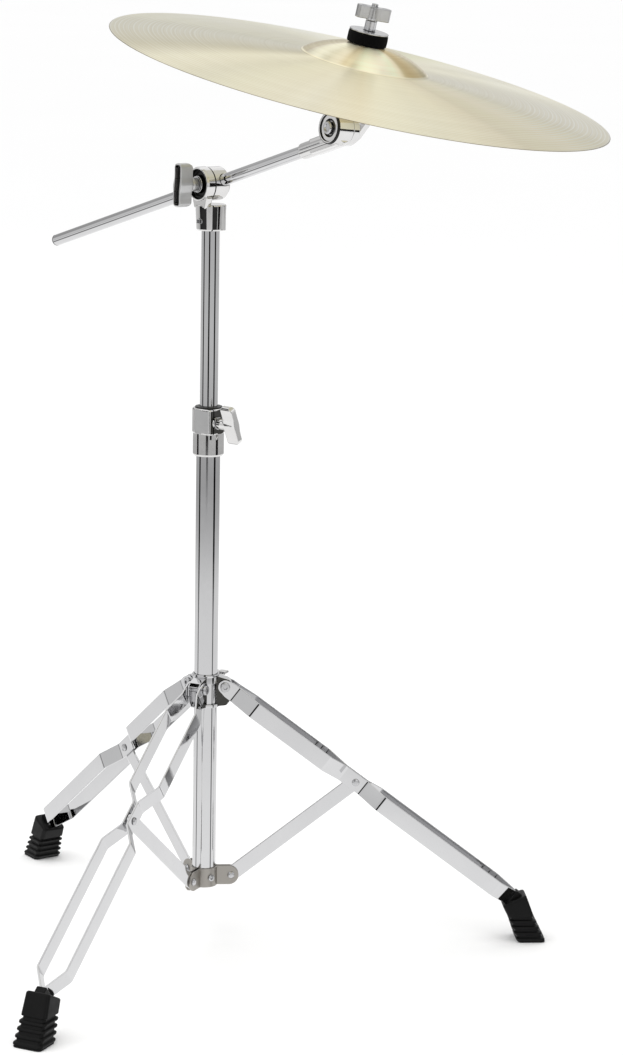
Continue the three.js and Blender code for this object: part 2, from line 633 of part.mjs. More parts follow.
// ---------------------------------------------------------------- boom arm
function boomEndCap() {
  const end = BOOM_TAIL;
  return lathe(
    [
      [0, end - 2.4], [4.6, end - 2.2], [BOOM_R, end - 1.0], [BOOM_R, end - GAP],
      [4.7, end - GAP], [4.7, end + 8], [0, end + 8],
    ],
    24,
  );
}
const boom = group(clamp, boomFrame); // local X runs outwards along the boom
const gripBush = ring(BOOM_R + 0.28, 7.8, -14.5, 14.5, 28);
add(boom, "boom_grip_bush", moved(gripBush, Z_TO_X), NYLON);
add(boom, "boom_arm", moved(tube(BOOM_R, BOOM_WALL, BOOM_TAIL, BOOM_TIP, 28), Z_TO_X), CHROME);
add(boom, "boom_end_cap", moved(boomEndCap(), Z_TO_X), NYLON);

// ---------------------------------------------------------------- tilter
// Tilter frame: X outwards along the boom, Y roughly along the tilter axis,
// Z up across the boom; the axis is square to both boom and stem.
const boomAlong = boomHeading.clone().multiplyScalar(Math.cos(BOOM_RISE));
boomAlong.z = Math.sin(BOOM_RISE);
const tiltAxis = CYMBAL_UP.clone().cross(boomAlong).normalize();
const boomUp = boomAlong.clone().cross(tiltAxis).normalize();
const pivot = clampAxis
  .clone()
  .multiplyScalar(BOOM_OFFSET)
  .add(vec(0, 0, CLAMP_Z))
  .addScaledVector(boomAlong, PIVOT_ALONG)
  .addScaledVector(boomUp, PIVOT_UP);
const tilter = group(column, frame(pivot, boomAlong, tiltAxis, boomUp));

// the stem crosses the rim plane uphill of the cymbal's centre
const uphill = vec(0, 0, 1).addScaledVector(CYMBAL_UP, -CYMBAL_UP.z).normalize();
const stemOrigin = RIM_CENTRE.clone().addScaledVector(uphill, STEM_SHIFT);
const stemSide = CYMBAL_UP.clone().cross(tiltAxis).normalize();
const fromPivot = stemOrigin.clone().sub(pivot);
const STEM_Y = fromPivot.dot(tiltAxis); // stem's place along the tilter axis
const STEM_MISS = fromPivot.dot(stemSide); // small sideways miss of the two axes
const RIM_HEIGHT = fromPivot.dot(CYMBAL_UP); // rim plane above the tilter axis
const lean = new THREE.Matrix4().makeRotationY(
  Math.atan2(CYMBAL_UP.dot(boomAlong), CYMBAL_UP.dot(boomUp)),
);

const DISC_R = RATCHET_R - 0.6;
const LOWER_DISC_Y0 = -12.8; // dished face
const LOWER_DISC_Y1 = 7.5; // face towards the upper half
const UPPER_DISC_Y = LOWER_DISC_Y1 + GAP;

// socket for the boom, and a disc with a dished face
function tilterLowerHalf() {
  const y0 = LOWER_DISC_Y0;
  const y1 = LOWER_DISC_Y1;
  const disc = lathe(
    [
      [0, y0 + 3.2], [8.4, y0 + 3.2], [9.4, y0 + 1.6], [13.2, y0 + 1.4], [14.2, y0],
      [15.4, y0], [DISC_R, y0 + 4.0], [DISC_R, y1], [0, y1],
    ],
    36,
  );
  const mouth = -58; // open end of the socket
  const socketAxis = chain(shift(0, 0, -PIVOT_UP), Z_TO_X);
  const socket = lathe(
    [[0, mouth], [7.6, mouth], [8.4, mouth + 1], [8.4, 4], [7, 8.4], [0, 8.4]],
    28,
  );
  const cheek = box(-40, 3, -7.4, 7.2, -PIVOT_UP - 7.6, -PIVOT_UP + 7.6);
  const boomHole = rod(BOOM_R + GAP, mouth - 1, BOOM_TIP - PIVOT_ALONG + 1, 24);
  const headRoom = rod(7.2, y0 - 6, y0 + 3.2, 28);
  const upperDiscRoom = rod(RATCHET_R + 0.6, y1, y1 + 20, 36);
  return union(moved(disc, Z_TO_Y), moved(socket, socketAxis), cheek)
    .subtract(moved(boomHole, socketAxis))
    .subtract(crossRod(STUD_HOLE_R, 20, 20))
    .subtract(moved(headRoom, Z_TO_Y))
    .subtract(moved(upperDiscRoom, Z_TO_Y));
}
// round head in the dish, shank through to the upper half
function tilterLockScrew() {
  const y0 = LOWER_DISC_Y0;
  return lathe(
    [
      [0, y0 - 0.2], [3.4, y0 - 0.2], [3.9, y0 - 2.4], [5.6, y0 - 2.4], [6.6, y0 - 1.2],
      [6.6, y0 + 2.9], [STUD_R, y0 + 2.9], [STUD_R, 17.5], [0, 17.5],
    ],
    24,
  );
}
// plain disc and a leaning, notched arm that holds the stem
function tilterUpperHalf() {
  const y = UPPER_DISC_Y;
  const disc = moved(rod(DISC_R, y, y + 7.5, 36), Z_TO_Y);
  // side outlines: [along the tilter axis, along the stem]
  const armSide = [
    [y + 5, -15.5], [y + 11, -13.5], [y + 18, -7], [y + 27, 9], [y + 30, 17],
    [STEM_Y + 8, 27], [STEM_Y - 6.8, 27], [STEM_Y - 7.2, 18], [y + 5, 13],
  ];
  const notchSide = [[y + 12.6, -3], [y + 21.4, 12], [y + 12.6, 12]];
  const armFrame = chain(lean, shift(-STEM_MISS / 2, 0, 0), STAND_YZ);
  return union(disc, moved(slab(armSide, -8.5, 8.5), armFrame))
    .subtract(moved(slab(notchSide, -14, 14), armFrame))
    .subtract(moved(rod(STUD_SEAT_R, -20, 17.9, 20), Z_TO_Y))
    .subtract(moved(rod(STEM_HOLE_R, 14.5, 60, 20), lean, shift(-STEM_MISS, STEM_Y, 0)));
}
add(tilter, "tilter_lower_half", tilterLowerHalf(), CAST);
add(tilter, "tilter_lock_screw", moved(tilterLockScrew(), Z_TO_Y), STEEL);
add(tilter, "tilter_upper_half", tilterUpperHalf(), CAST);

// ---------------------------------------------------------------- stem and what sits on it
// Stem frame: origin on the stem at the rim plane, Z along the stem.
const stem = group(column, frame(stemOrigin, tiltAxis, stemSide, CYMBAL_UP));

function stemRod() {
  const z0 = 15 - RIM_HEIGHT;
  return lathe([[0, z0], [STEM_R, z0], [STEM_R, 74.6], [2.8, 75.4], [0, 75.4]], 20);
}
function seatSleeve() {
  const inner = 3.65;
  const profile = [[inner, 12], [9, 12], [9, 20.2], [4.4, 20.8], [4.3, 51], [inner, 51]];
  return lathe(closed(profile), 24);
}
function lowerFelt() {
  const profile = [
    [SEAT_HOLE_R, 23.2], [16, 23.2], [16.6, 24.2],
    [16.6, 31.6], [15.4, 32.8], [SEAT_HOLE_R, 32.8],
  ];
  return lathe(closed(profile), 28);
}
function upperFelt() {
  const z0 = BELL_TOP + 0.4;
  const profile = [
    [SEAT_HOLE_R, z0], [FELT_R - 0.6, z0], [FELT_R, BELL_TOP + 1.2],
    [FELT_R, 46.0], [FELT_R - 0.6, 46.7], [SEAT_HOLE_R, 46.7],
  ];
  return lathe(closed(profile), 32);
}
function topWingNut() {
  const size = { length: 36, leafH: 13.4, hubR: 6.2, hubH: 2.2, thick: 12, skew: 62 };
  return moved(wing({ ...size, bore: STEM_HOLE_R, boreDepth: 40 }), shift(0, 0, 58.4));
}
add(stem, "stem_rod", stemRod(), STEEL);
add(stem, "seat_sleeve", seatSleeve(), NYLON);
add(stem, "lower_washer", ring(SEAT_HOLE_R, 17, 21.4, 22.9, 28), STEEL);
add(stem, "lower_felt", lowerFelt(), FELT);
add(stem, "upper_felt", upperFelt(), FELT);
add(stem, "upper_washer", ring(SEAT_HOLE_R, FELT_R - 0.3, 47.0, 48.4, 32), STEEL);
add(stem, "top_wing_nut", topWingNut(), CAST);

// ---------------------------------------------------------------- cymbal
const bowZ = (r) => BOW_H * (1 - Math.pow(r / CYMBAL_R, BOW_POWER));
// rounded bell that meets the bow at BELL_R and is nearly flat round the hole
function bellZ(r) {
  const base = bowZ(BELL_R);
  const fall = Math.pow(r / BELL_R, 2.1);
  return base + (BELL_TOP - base) * Math.pow(1 - fall, 0.78);
}
function cymbal() {
  const top = [
    ...[CYMBAL_HOLE_R, 14, 26, 38, 49, 57, 62].map((r) => [r, bellZ(r)]),
    ...[66, 95, 140, 180, 215, 240, CYMBAL_R].map((r) => [r, bowZ(r)]),
  ];
  const under = top.map(([r, z]) => [r, z - (r === CYMBAL_R ? EDGE_T : CYMBAL_T)]).reverse();
  return lathe(closed([...top, ...under]), 84);
}
const cymbalFrame = group(column, frame(RIM_CENTRE, tiltAxis, stemSide, CYMBAL_UP));
add(cymbalFrame, "cymbal", cymbal(), BRONZE);

export default root;
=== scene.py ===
"""A cymbal on a boom stand: folding tripod, two-part column, clamped boom, tilter and felts.

Z is up, the floor is Z = 0 and the camera looks along +Y, so +X is to its right.
Shapes are drawn in millimetres and become metres when a mesh is made. Most places are given
in the column frame, whose Z axis runs up the middle of the column.
"""
import bpy, bmesh, math
import numpy as np
from mathutils import Matrix, Vector, noise


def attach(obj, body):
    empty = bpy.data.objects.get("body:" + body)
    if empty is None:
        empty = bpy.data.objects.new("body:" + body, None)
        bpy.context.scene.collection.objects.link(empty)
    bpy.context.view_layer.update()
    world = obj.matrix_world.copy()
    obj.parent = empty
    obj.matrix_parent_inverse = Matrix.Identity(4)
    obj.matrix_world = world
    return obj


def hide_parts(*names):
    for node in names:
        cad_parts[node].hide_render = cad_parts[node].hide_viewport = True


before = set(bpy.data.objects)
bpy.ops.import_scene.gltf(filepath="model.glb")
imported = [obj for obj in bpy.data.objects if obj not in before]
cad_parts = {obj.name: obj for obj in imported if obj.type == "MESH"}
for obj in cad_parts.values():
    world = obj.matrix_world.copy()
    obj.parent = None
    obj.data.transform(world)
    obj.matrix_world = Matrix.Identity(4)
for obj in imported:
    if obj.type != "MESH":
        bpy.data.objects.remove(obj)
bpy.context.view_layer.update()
MM = 0.001
rad = math.radians


# ---------------------------------------------------------------- frames
def axes(origin, x, y, z):
    """The frame with these axes and this origin."""
    m = Matrix.Identity(4)
    for col, vec in enumerate((x, y, z, origin)):
        for row in range(3):
            m[row][col] = vec[row]
    return m


def turn(degrees):
    return Matrix.Rotation(rad(degrees), 4, "Z")


def shift(x, y, z):
    return Matrix.Translation((x, y, z))


TO_Y = axes((0, 0, 0), (1, 0, 0), (0, 0, -1), (0, 1, 0))      # Z axis turned to +Y
TO_X = axes((0, 0, 0), (0, 0, -1), (0, 1, 0), (1, 0, 0))      # Z axis turned to +X
UPRIGHT = axes((0, 0, 0), (1, 0, 0), (0, 0, 1), (0, -1, 0))   # plan stood up in XZ
SIDE = axes((0, 0, 0), (0, 1, 0), (0, 0, 1), (1, 0, 0))       # plan stood up in YZ

# ---------------------------------------------------------------- driving dimensions, column frame
COLUMN = shift(-87.84, 40.43, -2.2)          # column frame in the scene
LEG_ANGLES = {"right": 4.7, "back": 124.7, "front": 244.7}
FIRST_LEG = LEG_ANGLES["right"]
LOWER_R, UPPER_R, BOOM_R = 12.7, 9.525, 6.25  # outer radii of the tubes
HEIGHT_CLAMP_ANGLE = -39.1
HINGE_R, HINGE_Z = 20.5, 291.0               # leg hinges on the crown
LEG_SLOPE = rad(37.13)
EAR_R, EAR_Z = 29.5, 78.0                    # brace pivots on the bottom bracket
MID_RIVET = 180.0                            # from hinge to brace rivet, along the leg
BOOM_CLAMP_Z = 831.0
BOOM_ANGLE, BOOM_RISE, BOOM_OFFSET = -50.5, 16.82, 5.0
CYMBAL_CENTRE = Vector((153.2, -145.0, 950.6))   # centre of the rim plane
CYMBAL_AXIS = Vector((0.2018, -0.093, 0.975)).normalized()


# ---------------------------------------------------------------- outlines and solids
class Geo:
    """Vertices and faces."""
    def __init__(self, verts, faces):
        self.verts, self.faces = verts, faces

    def moved(self, m):
        flip = m.determinant() < 0
        faces = [tuple(reversed(f)) for f in self.faces] if flip else list(self.faces)
        return Geo([tuple(m @ Vector(p)) for p in self.verts], faces)


def polar(radius, degrees, x=0.0):
    return x + radius * math.cos(rad(degrees)), radius * math.sin(rad(degrees))


def soften(points, radius=0.5, steps=3, closed=True):
    """Rounds the corners of a polyline. A point may carry its own radius as a third number."""
    out, last = [], len(points) - 1
    for i, p in enumerate(points):
        wanted = p[2] if len(p) > 2 else radius
        corner = Vector(p[:2])
        if (not closed and i in (0, last)) or wanted <= 0:
            out.append((corner.x, corner.y))
            continue
        u = Vector(points[i - 1][:2]) - corner
        v = Vector(points[(i + 1) % len(points)][:2]) - corner
        len_u, len_v = u.length, v.length
        if len_u < 1e-6 or len_v < 1e-6:
            continue
        u, v = u / len_u, v / len_v
        angle = math.acos(max(-1, min(1, u.dot(v))))
        if angle > math.pi - 0.04 or angle < 0.05:
            out.append((corner.x, corner.y))
            continue
        reach = min(wanted / math.tan(angle / 2), 0.47 * len_u, 0.47 * len_v)
        r = reach * math.tan(angle / 2)
        centre = corner + (u + v).normalized() * (r / math.sin(angle / 2))
        start, end = corner + u * reach - centre, corner + v * reach - centre
        a0 = math.atan2(start.y, start.x)
        sweep = (math.atan2(end.y, end.x) - a0 + math.pi) % (2 * math.pi) - math.pi
        for k in range(steps + 1):
            a = a0 + sweep * k / steps
            out.append((centre.x + r * math.cos(a), centre.y + r * math.sin(a)))
    return out


def mirrored(half):
    """A turning profile completed by its mirror image in height."""
    return half + [(r, -z, *corner) for r, z, *corner in reversed(half)]


def is_loop(profile):
    return not (profile[0][0] < 1e-6 and profile[-1][0] < 1e-6)


def lathe(profile, seg=96):
    """A profile of (radius, height) turned about Z: a loop, or a line from axis to axis."""
    verts, faces, rows = [], [], []
    circle = [(math.cos(2 * math.pi * i / seg), math.sin(2 * math.pi * i / seg))
              for i in range(seg)]
    for r, z in profile:
        base = len(verts)
        if r < 1e-6:
            verts.append((0, 0, z))
            rows.append([base])
        else:
            verts += [(r * c, r * s, z) for c, s in circle]
            rows.append(list(range(base, base + seg)))
    count = len(rows)
    for k in range(count if is_loop(profile) else count - 1):
        a, b = rows[k], rows[(k + 1) % count]
        if len(a) == 1 and len(b) == 1:
            continue
        for i in range(seg):
            j = (i + 1) % seg
            if len(a) == 1:
                faces.append((a[0], b[j], b[i]))
            elif len(b) == 1:
                faces.append((a[i], a[j], b[0]))
            else:
                faces.append((a[i], a[j], b[j], b[i]))
    return Geo(verts, faces)


def turned(points, radius=0.4, seg=96, steps=3):
    """Turns points of (radius, height[, corner radius])."""
    return lathe(soften(points, radius, steps, is_loop(points)), seg)


def tube(inner, outer, z0, z1, edge=0.3, seg=96):
    return turned([(inner, z0), (outer, z0), (outer, z1), (inner, z1)], edge, seg)


def rod(r, z0, z1, edge=0.3, seg=64):
    return turned([(0, z0), (r, z0), (r, z1), (0, z1)], edge, seg)


def drill(r, z0, z1, seg=40):
    """A sharp-edged rod, used to cut holes."""
    return rod(r, z0, z1, 0.01, seg)


def inset(outline, depth):
    out = []
    for i, p in enumerate(outline):
        p = Vector(p)
        before, after = p - Vector(outline[i - 1]), Vector(outline[(i + 1) % len(outline)]) - p
        if before.length < 1e-7 or after.length < 1e-7:
            out.append((p.x, p.y))
            continue
        before.normalize()
        after.normalize()
        n1, n2 = Vector((-before.y, before.x)), Vector((-after.y, after.x))
        normal = n1 + n2
        if normal.length < 1e-6:
            normal = n1
        normal.normalize()
        q = p + normal * (depth / max(0.4, normal.dot(n1)))
        out.append((q.x, q.y))
    return out


def loft(rings):
    """Skins a row of equal rings and caps both ends."""
    n = len(rings[0])
    verts = [tuple(p) for ring in rings for p in ring]
    faces = []
    for k in range(len(rings) - 1):
        for i in range(n):
            j = (i + 1) % n
            faces.append((k * n + i, k * n + j, (k + 1) * n + j, (k + 1) * n + i))
    faces.append(tuple(reversed(range(n))))
    faces.append(tuple(range((len(rings) - 1) * n, len(rings) * n)))
    return Geo(verts, faces)


def prism(outline, z0, z1, edge=0.5, corner=None, steps=3, corner_steps=4):
    """An outline raised from z0 to z1, with rounded corners and rounded top and bottom edges."""
    area = sum(outline[i - 1][0] * p[1] - p[0] * outline[i - 1][1]
               for i, p in enumerate(outline))
    if area < 0:
        outline = list(reversed(outline))
    if corner is None:
        corner = edge * 1.3
    soft = soften(outline, corner, corner_steps)
    clean = [q for i, q in enumerate(soft) if (Vector(q) - Vector(soft[i - 1])).length > 1e-4]
    quarter = [math.pi / 2 * k / steps for k in range(steps + 1)]
    levels = [(edge * (1 - math.sin(a)), z0 + edge * (1 - math.cos(a))) for a in quarter]
    levels += [(edge * (1 - math.sin(a)), z1 - edge * (1 - math.cos(a)))
               for a in reversed(quarter)]
    return loft([[(x, y, z) for x, y in (inset(clean, depth) if depth > 1e-6 else clean)]
                 for depth, z in levels])


def box(xs, ys, zs, edge=0.4, corner=None):
    (x0, x1), (y0, y1) = xs, ys
    return prism([(x0, y0), (x1, y0), (x1, y1), (x0, y1)], *zs, edge, corner)


def dense(path, step):
    out = [Vector(path[0])]
    for a, b in zip(path, path[1:]):
        a, b = Vector(a), Vector(b)
        count = max(1, int(math.ceil((b - a).length / step)))
        out += [a.lerp(b, i / count) for i in range(1, count + 1)]
    return out


def strip(path, thick, half_height, bend, edge, step, refine_ends):
    """A flat bar along a plan path, half_height(x, y) high on either side of Z = 0."""
    points = refine_ends(dense(soften(path, bend, 6, closed=False), step))
    rings = []
    for i, p in enumerate(points):
        before = (p - points[i - 1]).normalized() if i else None
        after = (points[i + 1] - p).normalized() if i + 1 < len(points) else None
        before, after = before or after, after or before
        normal = Vector((-(before.y + after.y), before.x + after.x)).normalized()
        k = (thick / 2) / max(0.5, normal.dot(Vector((-before.y, before.x))))
        h = half_height(p.x, p.y)
        section = soften([(k, -h), (k, h), (-k, h), (-k, -h)], min(edge, h * 0.45), 3)
        rings.append([Vector((p.x + normal.x * a, p.y + normal.y * a, z)) for a, z in section])
    return loft(rings)


def thread(r, z0, z1, pitch=1.25, seg=48, depth=0.5):
    """A rod with a helical thread that runs out at both ends."""
    steps = max(4, int(round((z1 - z0) / pitch * 8)))
    rings = []
    for k in range(steps + 1):
        z = z0 + (z1 - z0) * k / steps
        fade = max(0.0, min(1.0, min(z - z0, z1 - z) / (0.8 * pitch)))
        row = []
        for i in range(seg):
            a = 2 * math.pi * i / seg
            phase = (z / pitch - i / seg) % 1.0
            rr = r - depth + depth * (1 - abs(2 * phase - 1)) * fade
            row.append((rr * math.cos(a), rr * math.sin(a), z))
        rings.append(row)
    return loft(rings)


# ---------------------------------------------------------------- objects
def to_mesh(name, geo):
    me = bpy.data.meshes.new(name)
    me.from_pydata([(x * MM, y * MM, z * MM) for x, y, z in geo.verts], [], geo.faces)
    me.update()
    bm = bmesh.new()
    bm.from_mesh(me)
    bmesh.ops.remove_doubles(bm, verts=bm.verts, dist=2e-6)
    bmesh.ops.dissolve_degenerate(bm, dist=1e-6, edges=bm.edges)
    bmesh.ops.recalc_face_normals(bm, faces=bm.faces)
    bm.to_mesh(me)
    bm.free()
    return me


def make(node, geo, m=None):
    """The visual of a CAD node, named after it."""
    o = bpy.data.objects.new("v_" + node, to_mesh("v_" + node, geo))
    bpy.context.scene.collection.objects.link(o)
    if m is not None:
        world = m.copy()
        world.translation = world.translation * MM
        o.matrix_world = world
    return o


def apply_modifiers(o):
    bpy.context.view_layer.update()
    graph = bpy.context.evaluated_depsgraph_get()
    me = bpy.data.meshes.new_from_object(o.evaluated_get(graph))
    old = o.data
    o.modifiers.clear()
    o.data = me
    if old.users == 0:
        bpy.data.meshes.remove(old)


def cut(o, *geos, op="DIFFERENCE"):
    """Booleans one after another, in the object's own frame."""
    for geo in geos:
        tool = make("tmp", geo)
        tool.matrix_world = o.matrix_world
        b = o.modifiers.new("b", "BOOLEAN")
        b.operation, b.solver, b.object = op, "EXACT", tool
        apply_modifiers(o)
        bpy.data.objects.remove(tool)


def join(o, *geos):
    cut(o, *geos, op="UNION")


def bevel(o, width, angle=50, segments=2):
    b = o.modifiers.new("bev", "BEVEL")
    b.width, b.segments = width * MM, segments
    b.limit_method, b.angle_limit = "ANGLE", rad(angle)
    apply_modifiers(o)


def polish(o, times):
    s = o.modifiers.new("s", "SMOOTH")
    s.factor, s.iterations = 0.5, times
    apply_modifiers(o)


def shade(o, angle, weighted):
    """Smooth faces, with edges sharper than the angle kept sharp."""
    bm = bmesh.new()
    bm.from_mesh(o.data)
    for f in bm.faces:
        f.smooth = True
    for e in bm.edges:
        e.smooth = not (len(e.link_faces) == 2 and e.calc_face_angle(0) > rad(angle))
    bm.to_mesh(o.data)
    bm.free()
    if weighted:
        w = o.modifiers.new("normals", "WEIGHTED_NORMAL")
        w.keep_sharp, w.weight = True, 50


def finish(o, body, slot, mat=None, angle=32, weighted=True, patches=()):
    """A patch is (material, test); test takes a face centre in mm, in the object's own frame.
    """
    me, main = o.data, MAT[mat or slot]
    if patches:
        me.materials.append(main)
    for index, (name, test) in enumerate(patches, 1):
        me.materials.append(MAT[name])
        for f in me.polygons:
            if test(*(f.center / MM)):
                f.material_index = index
    # the shaders read the piece's own coordinates from this attribute
    co = np.zeros(len(me.vertices) * 3, np.float32)
    me.vertices.foreach_get("co", co)
    me.attributes.new("loc", "FLOAT_VECTOR", "POINT").data.foreach_set("vector", co)
    me.transform(o.matrix_world)
    o.matrix_world = Matrix.Identity(4)
    shade(o, angle, weighted)
    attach(o, body)
    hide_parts(o.name[2:])
    if not patches:
        me.materials.clear()
        me.materials.append(main)


# ---------------------------------------------------------------- shader nodes
class Nodes:
    """Builds a node tree. An input takes a value or the socket that feeds it."""
    def __init__(self, owner):
        owner.use_nodes = True
        self.tree = owner.node_tree
        self.tree.nodes.clear()

    def add(self, kind, inputs, out=0, **props):
        node = self.tree.nodes.new("ShaderNode" + kind)
        for key, value in props.items():
            setattr(node, key, value)
        for key, value in inputs.items():
            if isinstance(value, bpy.types.NodeSocket):
                self.tree.links.new(value, node.inputs[key])
            else:
                node.inputs[key].default_value = value
        return node.outputs[out]

    def output(self, kind, shader, inputs):
        out = self.tree.nodes.new("ShaderNodeOutput" + kind)
        self.tree.links.new(self.add(shader, inputs), out.inputs[0])

    def math(self, operation, *values):
        return self.add("Math", dict(enumerate(values)), operation=operation)

    def vector(self, operation, *values, out=0):
        return self.add("VectorMath", dict(enumerate(values)), out, operation=operation)

    def mul(self, a, b):
        return self.math("MULTIPLY", a, b)

    def add_scaled(self, a, b, factor):
        return self.math("MULTIPLY_ADD", b, factor, a)

    def remap(self, value, source, target=(0.0, 1.0), **props):
        return self.add("MapRange", {
            "From Min": source[0], "From Max": source[1],
            "To Min": target[0], "To Max": target[1], "Value": value}, **props)

    def step(self, value, low, high, start=0.0, end=1.0):
        return self.remap(value, (low, high), (start, end), interpolation_type="SMOOTHSTEP")

    def mix(self, factor, a, b):
        return self.add("Mix", {0: factor, 2: a, 3: b}, data_type="FLOAT")

    def mix_color(self, factor, a, b, **props):
        a, b = [(*c, 1) if isinstance(c, tuple) else c for c in (a, b)]
        return self.add("Mix", {0: factor, 6: a, 7: b}, 2, data_type="RGBA", **props)

    def coords(self, scale=(1, 1, 1), source=("Attribute", "Vector"), **props):
        """The piece's own coordinates, scaled, unless another source is named."""
        if source[0] == "Attribute":
            props["attribute_name"] = "loc"
        place = self.add(source[0], {}, source[1], **props)
        return self.add("Mapping", {"Scale": scale, "Vector": place})

    def noise(self, vector, scale, detail=3.0, roughness=0.5, distortion=0.0):
        return self.add("TexNoise", {
            "Scale": scale, "Detail": detail, "Roughness": roughness,
            "Distortion": distortion, "Vector": vector})

    def color_ramp(self, value, stops):
        """Stops are (position, (red, green, blue)), from first to last."""
        socket = self.add("ValToRGB", {0: value})
        elements = socket.node.color_ramp.elements
        for element, stop in ((elements[0], stops[0]), (elements[1], stops[-1])):
            element.position, element.color = stop[0], (*stop[1], 1)
        for position, color in stops[1:-1]:
            elements.new(position).color = (*color, 1)
        return socket

    def bump(self, height, strength, distance):
        return self.add("Bump", {"Strength": strength, "Distance": distance, "Height": height})


# ---------------------------------------------------------------- materials
def metal(name, dark, light, rough_low, rough_high, smudge, grain, grain_scale,
          bump_strength, bump_distance):
    """Plated or cast metal: smudged roughness, slight tint changes, fine surface grain."""
    mat = bpy.data.materials.new(name)
    sh = Nodes(mat)
    place = sh.coords()
    smudges = sh.noise(place, smudge, detail=4.0, roughness=0.6, distortion=0.3)
    grains = sh.noise(sh.coords(grain), grain_scale, detail=5.0, roughness=0.6)
    specks = sh.noise(place, smudge * 7)
    sh.output("Material", "BsdfPrincipled", {
        "Base Color": sh.mix_color(smudges, dark, light),
        "Metallic": 1.0,
        "Roughness": sh.add_scaled(sh.remap(smudges, (0.3, 0.7), (rough_low, rough_high)),
                                   sh.remap(specks, (0.3, 0.7), (-0.02, 0.02)), 1.0),
        "Normal": sh.bump(grains, bump_strength, bump_distance)})
    return mat


# dark tint, light tint, lowest and highest roughness, smudge scale,
# stretch of the grain, grain scale, bump strength, bump distance (m)
METALS = {
    "chrome_plate": ((0.60, 0.60, 0.61), (0.67, 0.67, 0.675), 0.025, 0.06, 22,
                     (1, 1, 0.08), 1200, 0.012, 1e-5),
    "chrome_cast": ((0.66, 0.655, 0.65), (0.76, 0.755, 0.75), 0.045, 0.10, 60,
                    (1, 1, 1), 500, 0.035, 3e-5),
    # painted shade: near-black metal laid on grooves, hollows, seams and collar bands where shade
    # and dark reflections fall
    "cast_recess": ((0.012, 0.012, 0.012), (0.05, 0.05, 0.05), 0.28, 0.45, 80,
                    (1, 1, 1), 900, 0.2, 3e-5),
    "cast_satin": ((0.56, 0.56, 0.56), (0.66, 0.66, 0.66), 0.42, 0.50, 80,
                   (1, 0.2, 1), 1500, 0.3, 4e-5),
    # painted dark reflection: dark glossy plating laid on faces that would mirror the dark parts
    # of the room
    "cast_shade": ((0.04, 0.039, 0.036), (0.09, 0.088, 0.084), 0.14, 0.24, 80,
                   (1, 1, 1), 900, 0.1, 3e-5),
    "brushed_cast": ((0.44, 0.44, 0.44), (0.60, 0.60, 0.60), 0.26, 0.38, 90,
                     (1, 0.1, 1), 1500, 0.35, 4e-5),
    "nickel_plate": ((0.36, 0.34, 0.31), (0.45, 0.43, 0.40), 0.32, 0.44, 60,
                     (1, 1, 1), 1500, 0.25, 3e-5),
    "steel": ((0.50, 0.50, 0.51), (0.62, 0.62, 0.63), 0.15, 0.26, 120,
              (1, 1, 1), 1800, 0.15, 2e-5),
}
MAT = {name: metal(name, *values) for name, values in METALS.items()}


def polymer(name, dark, light, rough, scale, bump_strength, bump_distance, specular):
    mat = bpy.data.materials.new(name)
    sh = Nodes(mat)
    place = sh.coords()
    mottle = sh.noise(place, scale, detail=4.0, roughness=0.6)
    fine = sh.noise(place, 3500.0, detail=2.0)
    sh.output("Material", "BsdfPrincipled", {
        "Base Color": sh.mix_color(mottle, dark, light),
        "Roughness": sh.remap(mottle, (0.3, 0.7), rough),
        "Specular IOR Level": specular,
        "Normal": sh.bump(sh.add_scaled(mottle, fine, 0.5), bump_strength, bump_distance)})
    MAT[name] = mat


polymer("black_rubber", dark=(0.0022,) * 3, light=(0.006,) * 3, rough=(0.34, 0.48),
        scale=140, bump_strength=0.4, bump_distance=6e-5, specular=0.16)
polymer("black_nylon", dark=(0.006,) * 3, light=(0.014,) * 3, rough=(0.3, 0.45),
        scale=90, bump_strength=0.15, bump_distance=3e-5, specular=0.45)


def felt_material():
    mat = bpy.data.materials.new("black_felt")
    sh = Nodes(mat)
    place = sh.coords()
    fibres = sh.noise(sh.coords((1, 1, 2.4)), 1400, detail=6.0, roughness=0.75, distortion=1.6)
    lumps = sh.noise(place, 260, detail=4.0, roughness=0.65, distortion=0.5)
    tufts = sh.add("TexVoronoi", {"Scale": 1100, "Vector": place}, "Distance",
                   feature="SMOOTH_F1")
    height = sh.add_scaled(sh.add_scaled(fibres, lumps, 1.0), tufts, 0.6)
    sh.output("Material", "BsdfPrincipled", {
        "Base Color": sh.mix_color(sh.remap(fibres, (0.42, 0.68)),
                                   (0.0012, 0.0012, 0.0013), (0.0065, 0.0065, 0.007)),
        "Roughness": 0.96,
        "Specular IOR Level": 0.04,
        "Sheen Weight": 0.02,
        "Sheen Roughness": 0.6,
        "Normal": sh.bump(height, strength=0.8, distance=4e-4)})
    return mat


MAT["black_felt"] = felt_material()
